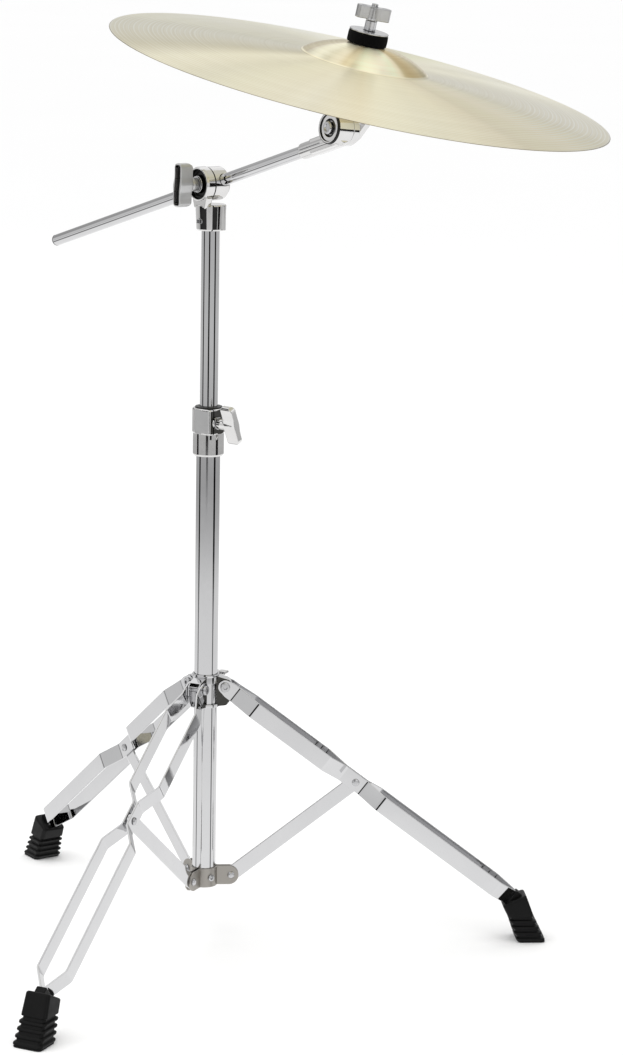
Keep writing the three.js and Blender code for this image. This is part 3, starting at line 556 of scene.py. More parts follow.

# Painted reflection: colour factors by bearing that paint in the bright and dark sectors the
# turned grooves of the bronze reflect.
# (bearing round the disc in degrees: 0 towards the camera, + to the right; red, green, blue)
FACE_PAINTED_REFLECTION = [
    (-179, 1.0, 1.05, 1.15), (-162, 1.01, 1.09, 1.33), (-150, 1.03, 1.1, 1.27),
    (-138, 0.97, 1.03, 1.2), (-126, 1.09, 1.16, 1.35), (-108, 1.11, 1.18, 1.29),
    (-90, 0.92, 0.96, 0.99), (-78, 0.88, 0.9, 0.89), (-70, 0.82, 0.83, 0.8),
    (-65, 0.86, 0.87, 0.83), (-58, 1.02, 1.04, 1.05), (-53, 1.08, 1.12, 1.15),
    (-48, 1.03, 1.06, 1.1), (-30, 1.0, 1.04, 1.07), (-18, 1.02, 1.05, 1.1),
    (-12, 1.14, 1.18, 1.26), (-6, 1.15, 1.17, 1.19), (0, 1.08, 1.08, 1.06),
    (6, 1.06, 1.1, 1.13), (18, 1.09, 1.13, 1.18), (27, 1.17, 1.2, 1.24),
    (37, 1.15, 1.16, 1.19), (41, 1.09, 1.1, 1.11), (48, 1.19, 1.22, 1.23),
    (57, 1.3, 1.32, 1.39), (69, 1.29, 1.34, 1.39), (84, 1.01, 1.05, 1.12),
    (102, 0.97, 1.02, 1.15), (126, 0.99, 1.05, 1.2), (150, 0.95, 1.01, 1.17),
    (162, 0.9, 0.97, 1.02), (179, 1.0, 1.05, 1.15)]
BELL_PAINTED_REFLECTION = [
    (-179, 1.22, 1.2, 1.12), (-130, 1.1, 1.09, 1.04), (-108, 0.75, 0.68, 0.52),
    (-96, 0.79, 0.74, 0.55), (-88, 0.73, 0.65, 0.45), (-80, 0.8, 0.77, 0.62),
    (-70, 0.9, 0.87, 0.86), (-66.5, 1.12, 1.15, 1.23), (-60, 1.33, 1.4, 1.5),
    (-48, 1.17, 1.23, 1.32), (-36, 1.14, 1.17, 1.19), (-26, 1.18, 1.18, 1.2),
    (-19, 1.06, 1.0, 0.87), (-12, 1.34, 1.31, 1.2), (-4, 1.43, 1.44, 1.4),
    (18, 1.34, 1.36, 1.44), (30, 1.43, 1.47, 1.5), (37, 1.31, 1.3, 1.3),
    (42, 0.97, 0.89, 0.72), (48, 1.02, 0.89, 0.65), (56, 1.12, 0.99, 0.74),
    (66, 1.18, 1.09, 0.87), (78, 1.08, 1.04, 0.85), (90, 1.03, 0.98, 0.87),
    (102, 0.94, 0.92, 0.82), (114, 0.95, 0.9, 0.81), (130, 1.16, 1.12, 1.04),
    (179, 1.22, 1.2, 1.12)]


def bronze():
    """Lathed bell bronze: concentric tool marks, reflection drawn out along them, painted
    reflection sectors.
    """
    mat = bpy.data.materials.new("cymbal_bronze")
    sh = Nodes(mat)
    place = sh.add("Attribute", {}, "Vector", attribute_name="loc")
    x, y, _ = sh.add("SeparateXYZ", {0: place}).node.outputs
    r = sh.math("SQRT", sh.math("MULTIPLY_ADD", y, y, sh.mul(x, x)))   # metres from the axis

    def rings(scale, detail):
        return sh.add("TexNoise", {"Scale": 1.0, "Detail": detail, "W": sh.mul(r, scale)},
                      noise_dimensions="1D")

    fine, mid, wide = rings(1900, 3.0), rings(420, 2.0), rings(70, 2.0)
    cloud = sh.noise(place, 9, detail=4.0, roughness=0.6, distortion=0.4)
    base = sh.mix_color(sh.remap(wide, (0.3, 0.7)), (0.753, 0.683, 0.482), (0.783, 0.715, 0.515))
    base = sh.mix_color(sh.remap(mid, (0.35, 0.7), (0, 0.35)), base, (0.69, 0.61, 0.41))
    base = sh.mix_color(sh.remap(cloud, (0.45, 0.75), (0, 0.3)), base, (0.78, 0.73, 0.57))
    # every few millimetres the turning tool left a brighter line, clearer towards the edge
    phase = sh.math("FRACT", sh.math("MULTIPLY_ADD", r, 215.0, rings(30, 1.0)))
    off_middle = sh.math("ABSOLUTE", sh.math("SUBTRACT", phase, 0.5))
    line = sh.mul(sh.remap(off_middle, (0.33, 0.48)), sh.remap(r, (0.12, 0.20), (0.0, 0.55)))
    base = sh.mix_color(line, base, (0.93, 0.90, 0.80))
    # painted shade: the turned rim is coloured dark brown, standing in for the shade along its
    # thin edge
    base = sh.mix_color(sh.remap(r, (0.2530, 0.2538), (0.0, 0.8)), base, (0.20, 0.15, 0.08))

    # direction away from the axis, in the plane of the disc
    axis = tuple(CYMBAL_AXIS)
    centre = tuple((COLUMN @ CYMBAL_CENTRE) * MM)
    offset = sh.vector("SUBTRACT", sh.add("TexCoord", {}, "Object"), centre)
    outward = sh.vector("CROSS_PRODUCT", sh.vector("CROSS_PRODUCT", axis, offset), axis)
    outward = sh.add("VectorTransform", {0: outward}, vector_type="VECTOR",
                     convert_from="OBJECT", convert_to="WORLD")
    outward = sh.vector("NORMALIZE", outward)
    near = Vector((0, -1, 0))
    near = (near - CYMBAL_AXIS * CYMBAL_AXIS.dot(near)).normalized()
    right = near.cross(CYMBAL_AXIS) * -1
    parts = [sh.vector("DOT_PRODUCT", outward, tuple(d), out="Value") for d in (right, near)]
    bearing = sh.remap(sh.math("ARCTAN2", *parts), (-math.pi, math.pi))

    def sectors(table):
        # halved to fit a colour ramp, and doubled again below
        return sh.color_ramp(bearing, [(degrees / 360 + 0.5, tuple(v * 0.5 for v in color))
                                       for degrees, *color in table])

    # painted reflection: light and dark sectors by bearing, laid over the base colour
    face, bell = sectors(FACE_PAINTED_REFLECTION), sectors(BELL_PAINTED_REFLECTION)
    painted_sector_light = sh.mix_color(sh.remap(r, (0.0622, 0.0640)), bell, face)
    # painted highlight ring at the foot of the bell
    foot = sh.mul(sh.remap(r, (0.0626, 0.0633)), sh.remap(r, (0.0640, 0.0647), (1.0, 0.0)))
    painted_sector_light = sh.mix_color(foot, painted_sector_light, (0.66, 0.66, 0.66))
    base_times_painted_light = sh.mix_color(1.0, base, painted_sector_light, blend_type="MULTIPLY")
    sh.output("Material", "BsdfPrincipled", {
        "Base Color": sh.add("VectorMath", {0: base_times_painted_light, "Scale": 2.0}, operation="SCALE"),
        "Metallic": 1.0,
        "Roughness": sh.remap(mid, (0.3, 0.7), (0.30, 0.36)),
        "Anisotropic": 1.0,
        "Tangent": outward,
        "Normal": sh.bump(sh.add_scaled(fine, mid, 0.9), strength=0.18, distance=2.0e-5)})
    return mat


MAT["cymbal_bronze"] = bronze()

# ---------------------------------------------------------------- column tubes
finish(make("lower_tube", tube(11.3, LOWER_R, 70, 575, 0.35, 128), COLUMN),
       "stand_base", "chrome_plate")
plug = turned([(0, 67.7), (12.2, 67.7), (12.2, 69.7), (11.0, 69.7), (11.0, 82), (0, 82)],
              0.5, 72)
finish(make("tube_end_plug", plug, COLUMN), "stand_base", "black_nylon")
finish(make("upper_tube", tube(8.325, UPPER_R, 330, 799.4, 0.3, 128), COLUMN),
       "upper_column", "chrome_plate")
UPPER_BORE = 9.825      # sliding fit on the upper tube
bush = turned([(UPPER_BORE, 546), (11.0, 546), (11.0, 594.9), (14.6, 594.9, 0.2),
               (14.4, 595.9, 0.4), (10.6, 596.6, 0.4), (UPPER_BORE, 596.4, 0.2)], 0.3, 96)
finish(make("guide_bush", bush, COLUMN), "guide", "black_nylon")

# ---------------------------------------------------------------- die-cast wings
# centre line of a blade: (along / half length, sideways / offset)
WING_LINE = [(-1, -1), (-0.62, -1.02), (-0.32, -0.9), (-0.14, -0.45), (0, 0),
             (0.14, 0.45), (0.32, 0.9), (0.62, 1.02), (1, 1)]


def wing(node, m, length, leaf, hub_r, hub_h, thick, blade_z, half, offset, smooth,
         top_r, low_r, skew=0, voxel=0.33, bore=None, dish=0, pocket=0, stem=None):
    """A die-cast wing, S-shaped in plan: a blade along local Y that crosses a round hub.

    The blade runs from blade_z to leaf above the hub; half and offset are its half thickness
    and the sideways set of its two ends, as parts of thick. bore is (radius, depth).
    """
    reach, top = length / 2, hub_h + leaf
    sideways, t = thick * offset, thick * half
    line = [(x * sideways, y * reach) for y, x in WING_LINE]

    def flank(sign):
        side = [(x + sign * t * (1.0 + 0.25 * math.exp(-(y / (reach * 0.22)) ** 2)), y, 6.0)
                for x, y in line]
        for end in (0, -1):
            side[end] = (*side[end][:2], t * 0.95)
        return side

    o = make(node, prism(flank(1) + flank(-1)[::-1], blade_z, top, 0.6, 0.0, 2, 6), m)
    low, high, tip = blade_z - 0.5, top + 0.3, reach + 0.5
    side_view = [(-tip, low, low_r), (0, low, 8), (tip, low, low_r),
                 (tip, high, top_r), (0, high, 12), (-tip, high, top_r)]
    cut(o, prism(side_view, -thick, thick, 0.05, 0.0, 1, 8).moved(SIDE), op="INTERSECT")
    skewed = turn(skew)
    o.data.transform(skewed)
    hub = to_mesh("tmp", turned([
        (0, 0), (hub_r, 0), (hub_r, hub_h * 0.55), (hub_r * 0.86, hub_h),
        (hub_r * 0.8, top - 1.8), (0, top - 1.8)], 1.0, 64))
    bm = bmesh.new()
    bm.from_mesh(o.data)
    bm.from_mesh(hub)
    bm.to_mesh(o.data)
    bm.free()
    bpy.data.meshes.remove(hub)
    # blade and hub melt into one skin with soft edges
    r = o.modifiers.new("r", "REMESH")
    r.mode, r.voxel_size, r.adaptivity = "VOXEL", voxel * MM, 0.0
    polish(o, smooth)
    if dish:
        bowl = turned([(0, top - dish), (t * 0.62, top - dish, dish), (t * 0.8, top + 4),
                       (0, top + 4)], 0.3, 48)
        cut(o, *[bowl.moved(skewed @ turn(a) @ shift(sideways, reach - t * 1.5, 0))
                 for a in (0, 180)])
        polish(o, 2)
    if pocket:
        # hollow in the outer face, inside a thin rim
        inner = t - 1.5
        outline = [(x + inner, y * 0.93, 3.0) for x, y in line]
        outline += [(x - inner, y * 0.93, 3.0) for x, y in reversed(line)]
        cut(o, prism(outline, top - pocket, top + 4, 0.8, 0.0, 3, 5).moved(skewed))
    if bore:
        cut(o, drill(bore[0], -1, bore[1], 48))
    if stem:
        join(o, stem)
    return o


# ---------------------------------------------------------------- height clamp
FLAT = 16.6                          # from the column axis to the two flat faces
CLAMP_LOW, CLAMP_TOP = 567.2, 594.6
BOLT_Y, BOLT_Z = -6, 580
HC = COLUMN @ turn(HEIGHT_CLAMP_ANGLE)
BOLT = shift(0, BOLT_Y, BOLT_Z) @ TO_X
corner_block = [(-6, 6), (-6, -FLAT), (FLAT, -FLAT), (FLAT, 6)]
o = make("height_clamp_casting",
         prism(corner_block, CLAMP_LOW, CLAMP_TOP, 2.2, 2.6, 5, 6), HC)
round_body = turned([(0, CLAMP_LOW), (17.4, CLAMP_LOW, 2.2), (17.4, CLAMP_TOP, 2.0),
                     (0, CLAMP_TOP)], 1.0, 128, 5)
skirt = turned([(0, 543.3), (15.6, 543.3, 0.6), (16.5, 545.2, 1.2), (16.5, 568.5, 0.0),
                (0, 568.5)], 0.5, 128, 4)
boss = turned([(0, 15.4), (6.9, 15.4), (6.2, 18.2, 0.8), (0, 18.2)], 0.3, 64)
join(o, round_body)
# the round body is planed off level with the two flat faces
cut(o, box((-30, 30), (-40, -FLAT), (560, 600), 0.05, 0.06),
    box((FLAT, 40), (-30, 30), (560, 600), 0.05, 0.06))
join(o, skirt, boss.moved(BOLT))
# two column bores, the clamping slot and the bolt hole
cut(o, drill(13.0, 540, 576, 128), drill(11.4, 575, 600, 128),
    box((6.5, 22), (-11.35, -9.85), (562, 600), 0.05, 0.06),
    drill(3.3, 12.6, 22, 48).moved(BOLT))
bevel(o, 0.35)
# the right flat face is coloured near black as a painted dark reflection; the left flat face is
# satin
finish(o, "stand_base", "chrome_cast", patches=[
    ("cast_satin", lambda x, y, z: y < -16.3 and -5.6 < x < 15.4 and 569 < z < 593),
    ("cast_shade", lambda x, y, z: 16.3 < x < 17.0 and -15.6 < y < 6.0 and 569 < z < 593)])
WASHER = HC @ shift(18.5, BOLT_Y, BOLT_Z) @ SIDE
finish(make("height_clamp_washer", tube(3.4, 6.6, 0, 1.1, 0.25, 64), WASHER),
       "height_washer", "steel")
o = wing("height_clamp_wing_bolt", WASHER @ shift(0, 0, 1.4), length=44.4, leaf=14.4,
         hub_r=6, hub_h=10.5, thick=13, blade_z=9.5, half=0.30, offset=0.06, smooth=15,
         top_r=9.0, low_r=5.5, skew=22, stem=thread(3.0, -6.6, 1.6, 1.0))
finish(o, "height_wing_bolt", "chrome_cast", angle=50)

# ---------------------------------------------------------------- bottom bracket, three plates
PLATE_THICK = 1.6
PLATE_R = 13.0 + PLATE_THICK / 2         # middle of the plate round the tube
PLATE_Y = 1.55 + PLATE_THICK / 2         # middle of the plate beside an ear's centre line
EAR_HALF, EAR_ROUND_R = 10.5, 27.3       # half height; where the round end begins


def plate_half(x, y):
    past = math.hypot(x, y) - EAR_ROUND_R
    return EAR_HALF if past < 0 else max(0.25, math.sqrt(max(0.0, EAR_HALF ** 2 - past ** 2)))


def plate_ends(points):
    """Closer stations along the round ends."""
    out = []
    for u, v in zip(points, points[1:]):
        out.append(u)
        if max(u.length, v.length) > EAR_ROUND_R:
            out += [u.lerp(v, k / 14) for k in range(1, 14)]
    return out + [points[-1]]


def bracket_plate(name, angle):
    """Out along one ear, round the tube, out along the next ear 120 degrees on."""
    start = math.degrees(math.asin(PLATE_Y / PLATE_R))
    end_r = EAR_ROUND_R + EAR_HALF
    path = [(*polar(PLATE_R, a), 0) for a in np.linspace(start, 120 - start, 25)]
    for end in (0, -1):
        path[end] = (*path[end][:2], 1.2)
    path = [(end_r, PLATE_Y), *path, tuple(turn(120) @ Vector((end_r, -PLATE_Y, 0)))[:2]]
    o = make("bracket_plate_" + name,
             strip(path, PLATE_THICK, plate_half, 1.6, 0.3, 6.0, plate_ends),
             COLUMN @ turn(angle) @ shift(0, 0, EAR_Z))
    pivot = drill(3.3, -8, 8)
    cut(o, pivot.moved(shift(EAR_R, 0, 0) @ TO_Y),
        pivot.moved(turn(120) @ shift(EAR_R, 0, 0) @ TO_Y),
        drill(2.3, 8, 20, 32).moved(turn(60) @ TO_X))
    finish(o, "stand_base", "nickel_plate")
    rivet = turned([(0, 13.2), (2.0, 13.2), (2.0, 14.9, 0.1), (3.9, 14.9, 0.2), (3.5, 16.2, 0.5),
                    (1.9, 16.7, 0.3), (1.4, 15.4, 0.3), (0, 15.4)], 0.3, 48)
    finish(make("plate_rivet_" + name, rivet,
                COLUMN @ turn(angle + 60) @ shift(0, 0, EAR_Z) @ TO_X), "stand_base", "steel")


for name, angle in zip(("back_right", "left", "front_right"), LEG_ANGLES.values()):
    bracket_plate(name, angle)

# ---------------------------------------------------------------- crown
EAR_IN, EAR_OUT = 5.3, 7.2               # faces of an ear, from a leg's centre plane
collar = turned([(0, 295), (14.3, 295), (14.1, 302.2, 1.0), (14.8, 303.6, 0.5), (14.7, 305, 0.4),
                 (0, 305)], 0.4, 128)
# outlines in a leg's plane: (out from the column, up[, corner radius])
EAR = [(8, 268.8), (22, 270.2, 3), (26.5, 276, 4), (28.4, 285, 6), (28.4, 294.5, 4),
       (25, 298.6, 3), (8, 304)]
ROOF = [(8, 304), (24.6, 298.7, 3), (28.3, 294.5, 0.6), (27.0, 293.5, 0.6), (24.0, 296.9, 2),
        (8, 302.1)]
FLOOR = [(8, 268.9), (21.5, 270.3), (21.5, 271.8), (8, 270.4)]
parts = [turned([(0, 268.8), (15.2, 268.8, 0.5), (15.2, 272.6, 0.6), (0, 272.6)], 0.4, 128)]
for angle in LEG_ANGLES.values():
    solids = [prism(EAR, EAR_IN, EAR_OUT, 0.45, 0.8, 3, 5),
              prism(EAR, -EAR_OUT, -EAR_IN, 0.45, 0.8, 3, 5),
              prism(ROOF, -6.9, 6.9, 0.3, 0.4, 2, 4),
              prism(FLOOR, -6.9, 6.9, 0.2, 0.3, 2)]
    parts += [solid.moved(turn(angle) @ UPRIGHT) for solid in solids]
o = make("crown", collar, COLUMN)
join(o, *parts)
cut(o, drill(13.05, 255, 320, 128))
for angle in LEG_ANGLES.values():
    cut(o, drill(3.3, -14, 14).moved(turn(angle) @ shift(HINGE_R, 0, HINGE_Z) @ TO_Y))
LOCK = turn(FIRST_LEG + 60) @ shift(0, 0, 299) @ TO_X
join(o, tube(2.6, 5.2, 13.5, 19, 0.5, 56).moved(LOCK))
cut(o, drill(2.6, 10, 20).moved(LOCK))
bevel(o, 0.3, angle=55)


def painted_ear_reflection(x, y, z):
    """Painted dark reflection on outer ear faces: one at the right leg, both at the front leg."""
    for name, signs in (("right", (-1,)), ("front", (-1, 1))):
        a = rad(LEG_ANGLES[name])
        out = x * math.cos(a) + y * math.sin(a)
        across = -x * math.sin(a) + y * math.cos(a)
        on_face = any(abs(across - sign * EAR_OUT) < 0.12 for sign in signs)
        if on_face and 12 < out < 29 and 270 < z < 303:
            return True
    return False


finish(o, "crown_slider", "chrome_plate", patches=[("cast_shade", painted_ear_reflection)])
o = wing("crown_thumb_screw", COLUMN @ LOCK @ shift(0, 0, 19.4), length=24, leaf=8,
         hub_r=4, hub_h=4, thick=7, blade_z=3, half=0.27, offset=0.2, smooth=7,
         top_r=3, low_r=2, voxel=0.25, stem=thread(2.2, -5.9, 1.2, 0.8, 32, 0.35))
finish(o, "crown_screw", "chrome_cast", angle=50)

# ---------------------------------------------------------------- legs, braces, feet
LEG_END_R = 7.6                          # rounded hinge end of a strip
# plan of one strip: (along the leg from the hinge, out from its centre plane)
LEG_PATH = [(-LEG_END_R, 8.5), (14, 8.5), (39, 17.4), (139, 17.4), (161.5, 2.65), (191, 2.65),
            (213, 16.6), (376, 16.6), (398, 2.65), (408, 2.65)]
DOWN_LEG = axes((HINGE_R, 0, HINGE_Z), (math.cos(LEG_SLOPE), 0, -math.sin(LEG_SLOPE)),
                (0, 1, 0), (math.sin(LEG_SLOPE), 0, math.cos(LEG_SLOPE)))


def leg_half(along, _):
    if along < 0:
        return max(0.35, math.sqrt(max(0.0, LEG_END_R ** 2 - along * along)))
    return LEG_END_R + 1.4 * min(1.0, along / 6.0) if along < 6 else 9.0


def leg_ends(points):
    """Closer stations round the hinge end."""
    xs = [-LEG_END_R * math.cos(rad(a)) for a in (0, 6, 14, 24, 36, 48, 60, 72, 84)]
    return ([Vector((x, points[0].y)) for x in xs + [2.0, 4.0, 6.0]]
            + [p for p in points if p.x > 6.5])


def leg_strips(name, leg):
    rivet = turned([(0, 1.9), (2.4, 1.9), (2.4, 3.95, 0.1), (4.2, 3.95, 0.2), (3.9, 4.9, 0.6),
                    (2.2, 5.6, 1.2), (0, 5.6)], 0.4, 48)
    for side, sign, outward in (("a", 1, TO_Y), ("b", -1, UPRIGHT)):
        bar = strip([(x, y * sign) for x, y in LEG_PATH], 2.0, leg_half, 7.0, 0.45, 14.0,
                    leg_ends)
        o = make("leg_%s_strip_%s" % (name, side), bar, leg @ DOWN_LEG)
        cut(o, drill(3.3, -14, 14).moved(TO_Y),
            drill(2.7, -8, 8).moved(shift(MID_RIVET, 0, 0) @ TO_Y))
        finish(o, "leg_" + name, "chrome_plate")
        finish(make("mid_rivet_%s_%s" % (name, side), rivet,
                    leg @ DOWN_LEG @ shift(MID_RIVET, 0, 0) @ outward), "leg_" + name, "steel")


def hinge_bolt(name, leg):
    """A pin with a round head and a hexagon socket at either end."""
    half = [(0, -12.6), (4.6, -12.6, 0.8), (5.2, -11.6, 0.6), (5.2, -9.85, 0.3), (3.0, -9.85, 0.1)]
    o = make("hinge_bolt_" + name, turned(mirrored(half), 0.4, 64),
             leg @ shift(HINGE_R, 0, HINGE_Z) @ TO_Y)
    hexagon = [polar(2.5, 60 * k) for k in range(6)]
    cut(o, prism(hexagon, -14, -10.6, 0.05, 0.2, 1, 2), prism(hexagon, 10.6, 14, 0.05, 0.2, 1, 2))
    finish(o, "crown_slider", "steel")


def brace(name, leg):
    """A flat bar from the bottom bracket up to the rivet in the middle of the leg."""
    run = HINGE_R + MID_RIVET * math.cos(LEG_SLOPE) - EAR_R
    rise = HINGE_Z - MID_RIVET * math.sin(LEG_SLOPE) - EAR_Z
    length, a = math.hypot(run, rise), math.atan2(rise, run)
    m = leg @ axes((EAR_R, 0, EAR_Z), (math.cos(a), 0, math.sin(a)), (0, 1, 0),
                   (-math.sin(a), 0, math.cos(a)))
    bar = [polar(8, 90 + 7.5 * k) for k in range(25)]
    bar += [polar(8, -90 + 7.5 * k, length) for k in range(25)]
    o = make("brace_" + name, prism(bar, -1.25, 1.25, 0.4, 0.0, 3).moved(UPRIGHT), m)
    hole = drill(3.1, -6, 6)
    cut(o, hole.moved(TO_Y), hole.moved(shift(length, 0, 0) @ TO_Y))
    finish(o, "brace_body_" + name, "chrome_plate")
    half = [(0, -5.25), (2.6, -5.25, 0.9), (4.0, -3.7, 0.5), (4.0, -3.45, 0.1), (2.7, -3.45, 0.1)]
    finish(make("brace_pivot_rivet_" + name, turned(mirrored(half), 0.3, 48),
                leg @ shift(EAR_R, 0, EAR_Z) @ TO_Y), "stand_base", "steel")


def foot_stations():
    """(part of the way down, half width outwards, half width across), from the top."""
    rows = []
    for k in range(6):
        a = math.pi / 2 * k / 5
        rows.append((0.05 * (1 - math.cos(a)), 10.6 + 2.2 * math.sin(a), 11.8 + 2.2 * math.sin(a)))
    rows += [(0.15, 13.2, 14.3), (0.27, 13.6, 14.7), (0.37, 14.0, 15.0), (0.385, 13.9, 14.9)]
    # four grooves, each with a rib below it: (step down, half widths, added to them)
    for k in range(4):
        top = 0.40 + 0.14 * k
        groove = (12.2 + 0.6 * k, 13.2 + 0.6 * k)
        rib = (14.7 + 0.45 * k, 15.9 + 0.45 * k)
        for step, (out, across), more in (
                (0, groove, 0.1), (0.012, groove, 0), (0.050, groove, 0.1), (0.060, groove, 0.5),
                (0.072, rib, -0.45), (0.082, rib, -0.1), (0.100, rib, 0), (0.116, rib, -0.1),
                (0.124, rib, -0.45)):
            rows.append((top + step, out + more, across + more))
    return rows + [(0.955, 15.0, 16.2), (0.97, 15.4, 16.6), (0.99, 15.1, 16.3), (1.0, 14.3, 15.5)]


def foot_ring(down, half_x, half_y):
    """A rounded rectangle; the upper ones are tipped up outwards."""
    cx, cz = 341 + 20 * down, 49.3 + (2.2 - 49.3) * down
    tip = 0.52 * max(0.0, 1 - down / 0.42)
    c = min(half_x, half_y) * 0.3
    points = []
    for sx, sy, start in ((1, 1, 0), (-1, 1, 90), (-1, -1, 180), (1, -1, 270)):
        for k in range(7):
            dx, dy = polar(c, start + 15 * k)
            x = sx * (half_x - c) + dx
            points.append(Vector((cx + x, sy * (half_y - c) + dy, cz + x * tip)))
    return points


def foot(name, leg):
    """A moulded rubber foot, with a collar and a slot for the leg strips."""
    o = make("foot_" + name, loft([foot_ring(*row) for row in foot_stations()]), leg)
    join(o, box((398.5, 407), (-5.9, 5.9), (-10, 10), 0.9, 1.2).moved(DOWN_LEG))
    cut(o, box((380, 409.2), (-4.1, 4.1), (-9.4, 9.4), 0.1, 0.12).moved(DOWN_LEG),
        box((380, 398.5), (-7, 7), (-9.6, 9.6), 0.1, 0.12).moved(DOWN_LEG))
    bevel(o, 0.35)
    finish(o, "leg_" + name, "black_rubber")


for name, angle in LEG_ANGLES.items():
    for build in (leg_strips, hinge_bolt, brace, foot):
        build(name, COLUMN @ turn(angle))

# ---------------------------------------------------------------- boom clamp
# clamp frame: X out under the boom, Y away from the wing nut, Z up
level = Vector((math.cos(rad(BOOM_ANGLE)), math.sin(rad(BOOM_ANGLE)), 0))
across = Vector((-level.y, level.x, 0))
rise = rad(BOOM_RISE)
CLAMP = COLUMN @ axes((0, 0, BOOM_CLAMP_Z), level, across, (0, 0, 1))
UP_BOOM = axes((0, BOOM_OFFSET, 0), (math.cos(rise), 0, math.sin(rise)), (0, 1, 0),
               (-math.sin(rise), 0, math.cos(rise)))
LOW, TOP = 782.3 - BOOM_CLAMP_Z, 809.6 - BOOM_CLAMP_Z     # the collar on the upper tube
collar = turned([(0, LOW), (14.0, LOW, 0.6), (14.9, LOW + 1.4, 1.0), (16.2, TOP - 1.0, 1.2),
                 (15.2, TOP, 0.8), (0, TOP)], 0.5, 128, 4)
lug = box((3, 14.6), (-2, 9.4), (LOW + 0.1, TOP), 1.0, 1.6)
web = prism([(-9.5, TOP - 4), (9.5, TOP - 4), (13.5, TOP + 9), (-13.5, TOP + 9)],
            7.4, 15.2, 1.4, 1.8, 4, 5).moved(UPRIGHT)
disc = turned([
    (0, -18.7), (8.6, -18.7, 0.5), (9.4, -13.6, 0.8), (14.6, -13.0, 0.8), (15.9, -18.2, 0.5),
    (17.2, -18.0, 0.6), (18.2, -15.6, 0.9), (18.2, -7.9, 0.3), (17.4, -7.2, 0.2), (0, -7.2)],
    0.4, 128, 5).moved(TO_Y)
KEY_SCREW = turn(227.7 - BOOM_ANGLE) @ shift(0, 0, 792.5 - BOOM_CLAMP_Z) @ TO_X
o = make("boom_clamp_base", collar, CLAMP)
join(o, lug, web, disc)
cut(o, drill(UPPER_BORE, LOW - 1, 800.0 - BOOM_CLAMP_Z, 128),
    drill(4.4, -30, 0, 64).moved(TO_Y), drill(3.3, 9, 20, 48).moved(KEY_SCREW))
bevel(o, 0.4)


def clamp_painted_shade(x, y, z):
    """Painted shade in the groove of the disc and on its inner face near the edge, and two bands
    of painted dark reflection on the collar.
    """
    r, turned_by = math.hypot(x, y), math.degrees(math.atan2(y, x))
    return ((-18.0 < y < -12.4 and 8.9 < math.hypot(x, z) < 15.6)
            or (-8.2 < y < -7.0 and math.hypot(x, z) > 16.2)
            or (LOW + 1.8 < z < TOP - 1.6 and 13.8 < r < 16.6
                and (-82 < turned_by < -53 or -27 < turned_by < -10)))


finish(o, "upper_column", "chrome_cast", patches=[("cast_recess", clamp_painted_shade)])
o = make("socket_key_screw", rod(2.9, 10.3, 15.6, 0.4, 48), CLAMP @ KEY_SCREW)
join(o, box((-2.1, 2.1), (-2.1, 2.1), (14.5, 19), 0.35, 0.45))
finish(o, "upper_column", "steel")

eye = turned([(0, -6.9), (16.9, -6.9, 0.2), (17.6, -6.2, 0.3), (17.6, 10.6, 1.8), (15, 13.6, 1.4),
              (9.2, 13.6, 0.5), (8.4, 12.6, 0.5), (0, 12.6)], 0.5, 128, 5).moved(TO_Y)
o = make("boom_clamp_eye", eye, CLAMP)
cut(o, drill(8.1, -14.8, 14.8, 96).moved(UP_BOOM @ TO_X),
    drill(6.75, -30, 30, 96).moved(UP_BOOM @ TO_X), drill(4.35, -10, -4.2, 64).moved(TO_Y))
bevel(o, 0.5, angle=40, segments=3)
# painted shade: the eye's face against the disc, at the seam, is coloured near black
finish(o, "boom_carrier", "chrome_cast",
       patches=[("cast_recess", lambda x, y, z: y < -6.0 and math.hypot(x, z) > 9)])
finish(make("boom_clamp_stud", thread(4.0, -38, -4.6, 1.25, 56, 0.45).moved(TO_Y), CLAMP),
       "boom_carrier", "steel")
NUT = CLAMP @ shift(0, -19.0, 0) @ UPRIGHT
finish(make("boom_clamp_washer", tube(4.4, 8.2, 0, 1.1, 0.25, 72), NUT), "clamp_washer", "steel")
NUT_THICK, NUT_HALF, NUT_OFFSET = 13, 0.46, 0.08
o = wing("boom_clamp_wing_nut", NUT @ shift(0, 0, 1.4), length=45.4, leaf=14.2,
         hub_r=7, hub_h=9.6, thick=NUT_THICK, blade_z=8.2, half=NUT_HALF, offset=NUT_OFFSET,
         smooth=8, top_r=3.4, low_r=11.0, bore=(4.3, 18.6), pocket=4.2)


def in_pocket(x, y, z):
    middle = NUT_THICK * NUT_OFFSET * max(-1.0, min(1.0, y / 7.0))
    half = NUT_THICK * NUT_HALF * (1.0 + 0.25 * math.exp(-(y / 5.0) ** 2)) - 0.9
    if abs(y) < 17:
        inside = abs(x - middle) < half
    else:
        inside = math.hypot(x - middle, abs(y) - 17) < 4.8
    return inside and 19.4 < z < 23.2


# painted shade: the hollow in the outer face of the wing is coloured near black
finish(o, "clamp_wing_nut", "chrome_cast", angle=50, mat="cast_satin",
       patches=[("cast_recess", in_pocket)])

# ---------------------------------------------------------------- boom
BOOM = CLAMP @ UP_BOOM
finish(make("boom_grip_bush", tube(6.53, 7.8, -14.5, 14.5, 0.4, 96).moved(TO_X), BOOM),
       "boom_guide", "black_nylon")
finish(make("boom_arm", tube(5.05, BOOM_R, -304, 206, 0.3, 96).moved(TO_X), BOOM),
       "boom_body", "chrome_plate")
cap = turned([(0, -306.4), (4.6, -306.2, 1.2), (BOOM_R, -305.0, 0.8), (BOOM_R, -304.3, 0.2),
              (4.7, -304.3, 0.1), (4.7, -296, 0.4), (0, -296)], 0.3, 72)
finish(make("boom_end_cap", cap.moved(TO_X), BOOM), "boom_body", "black_nylon")

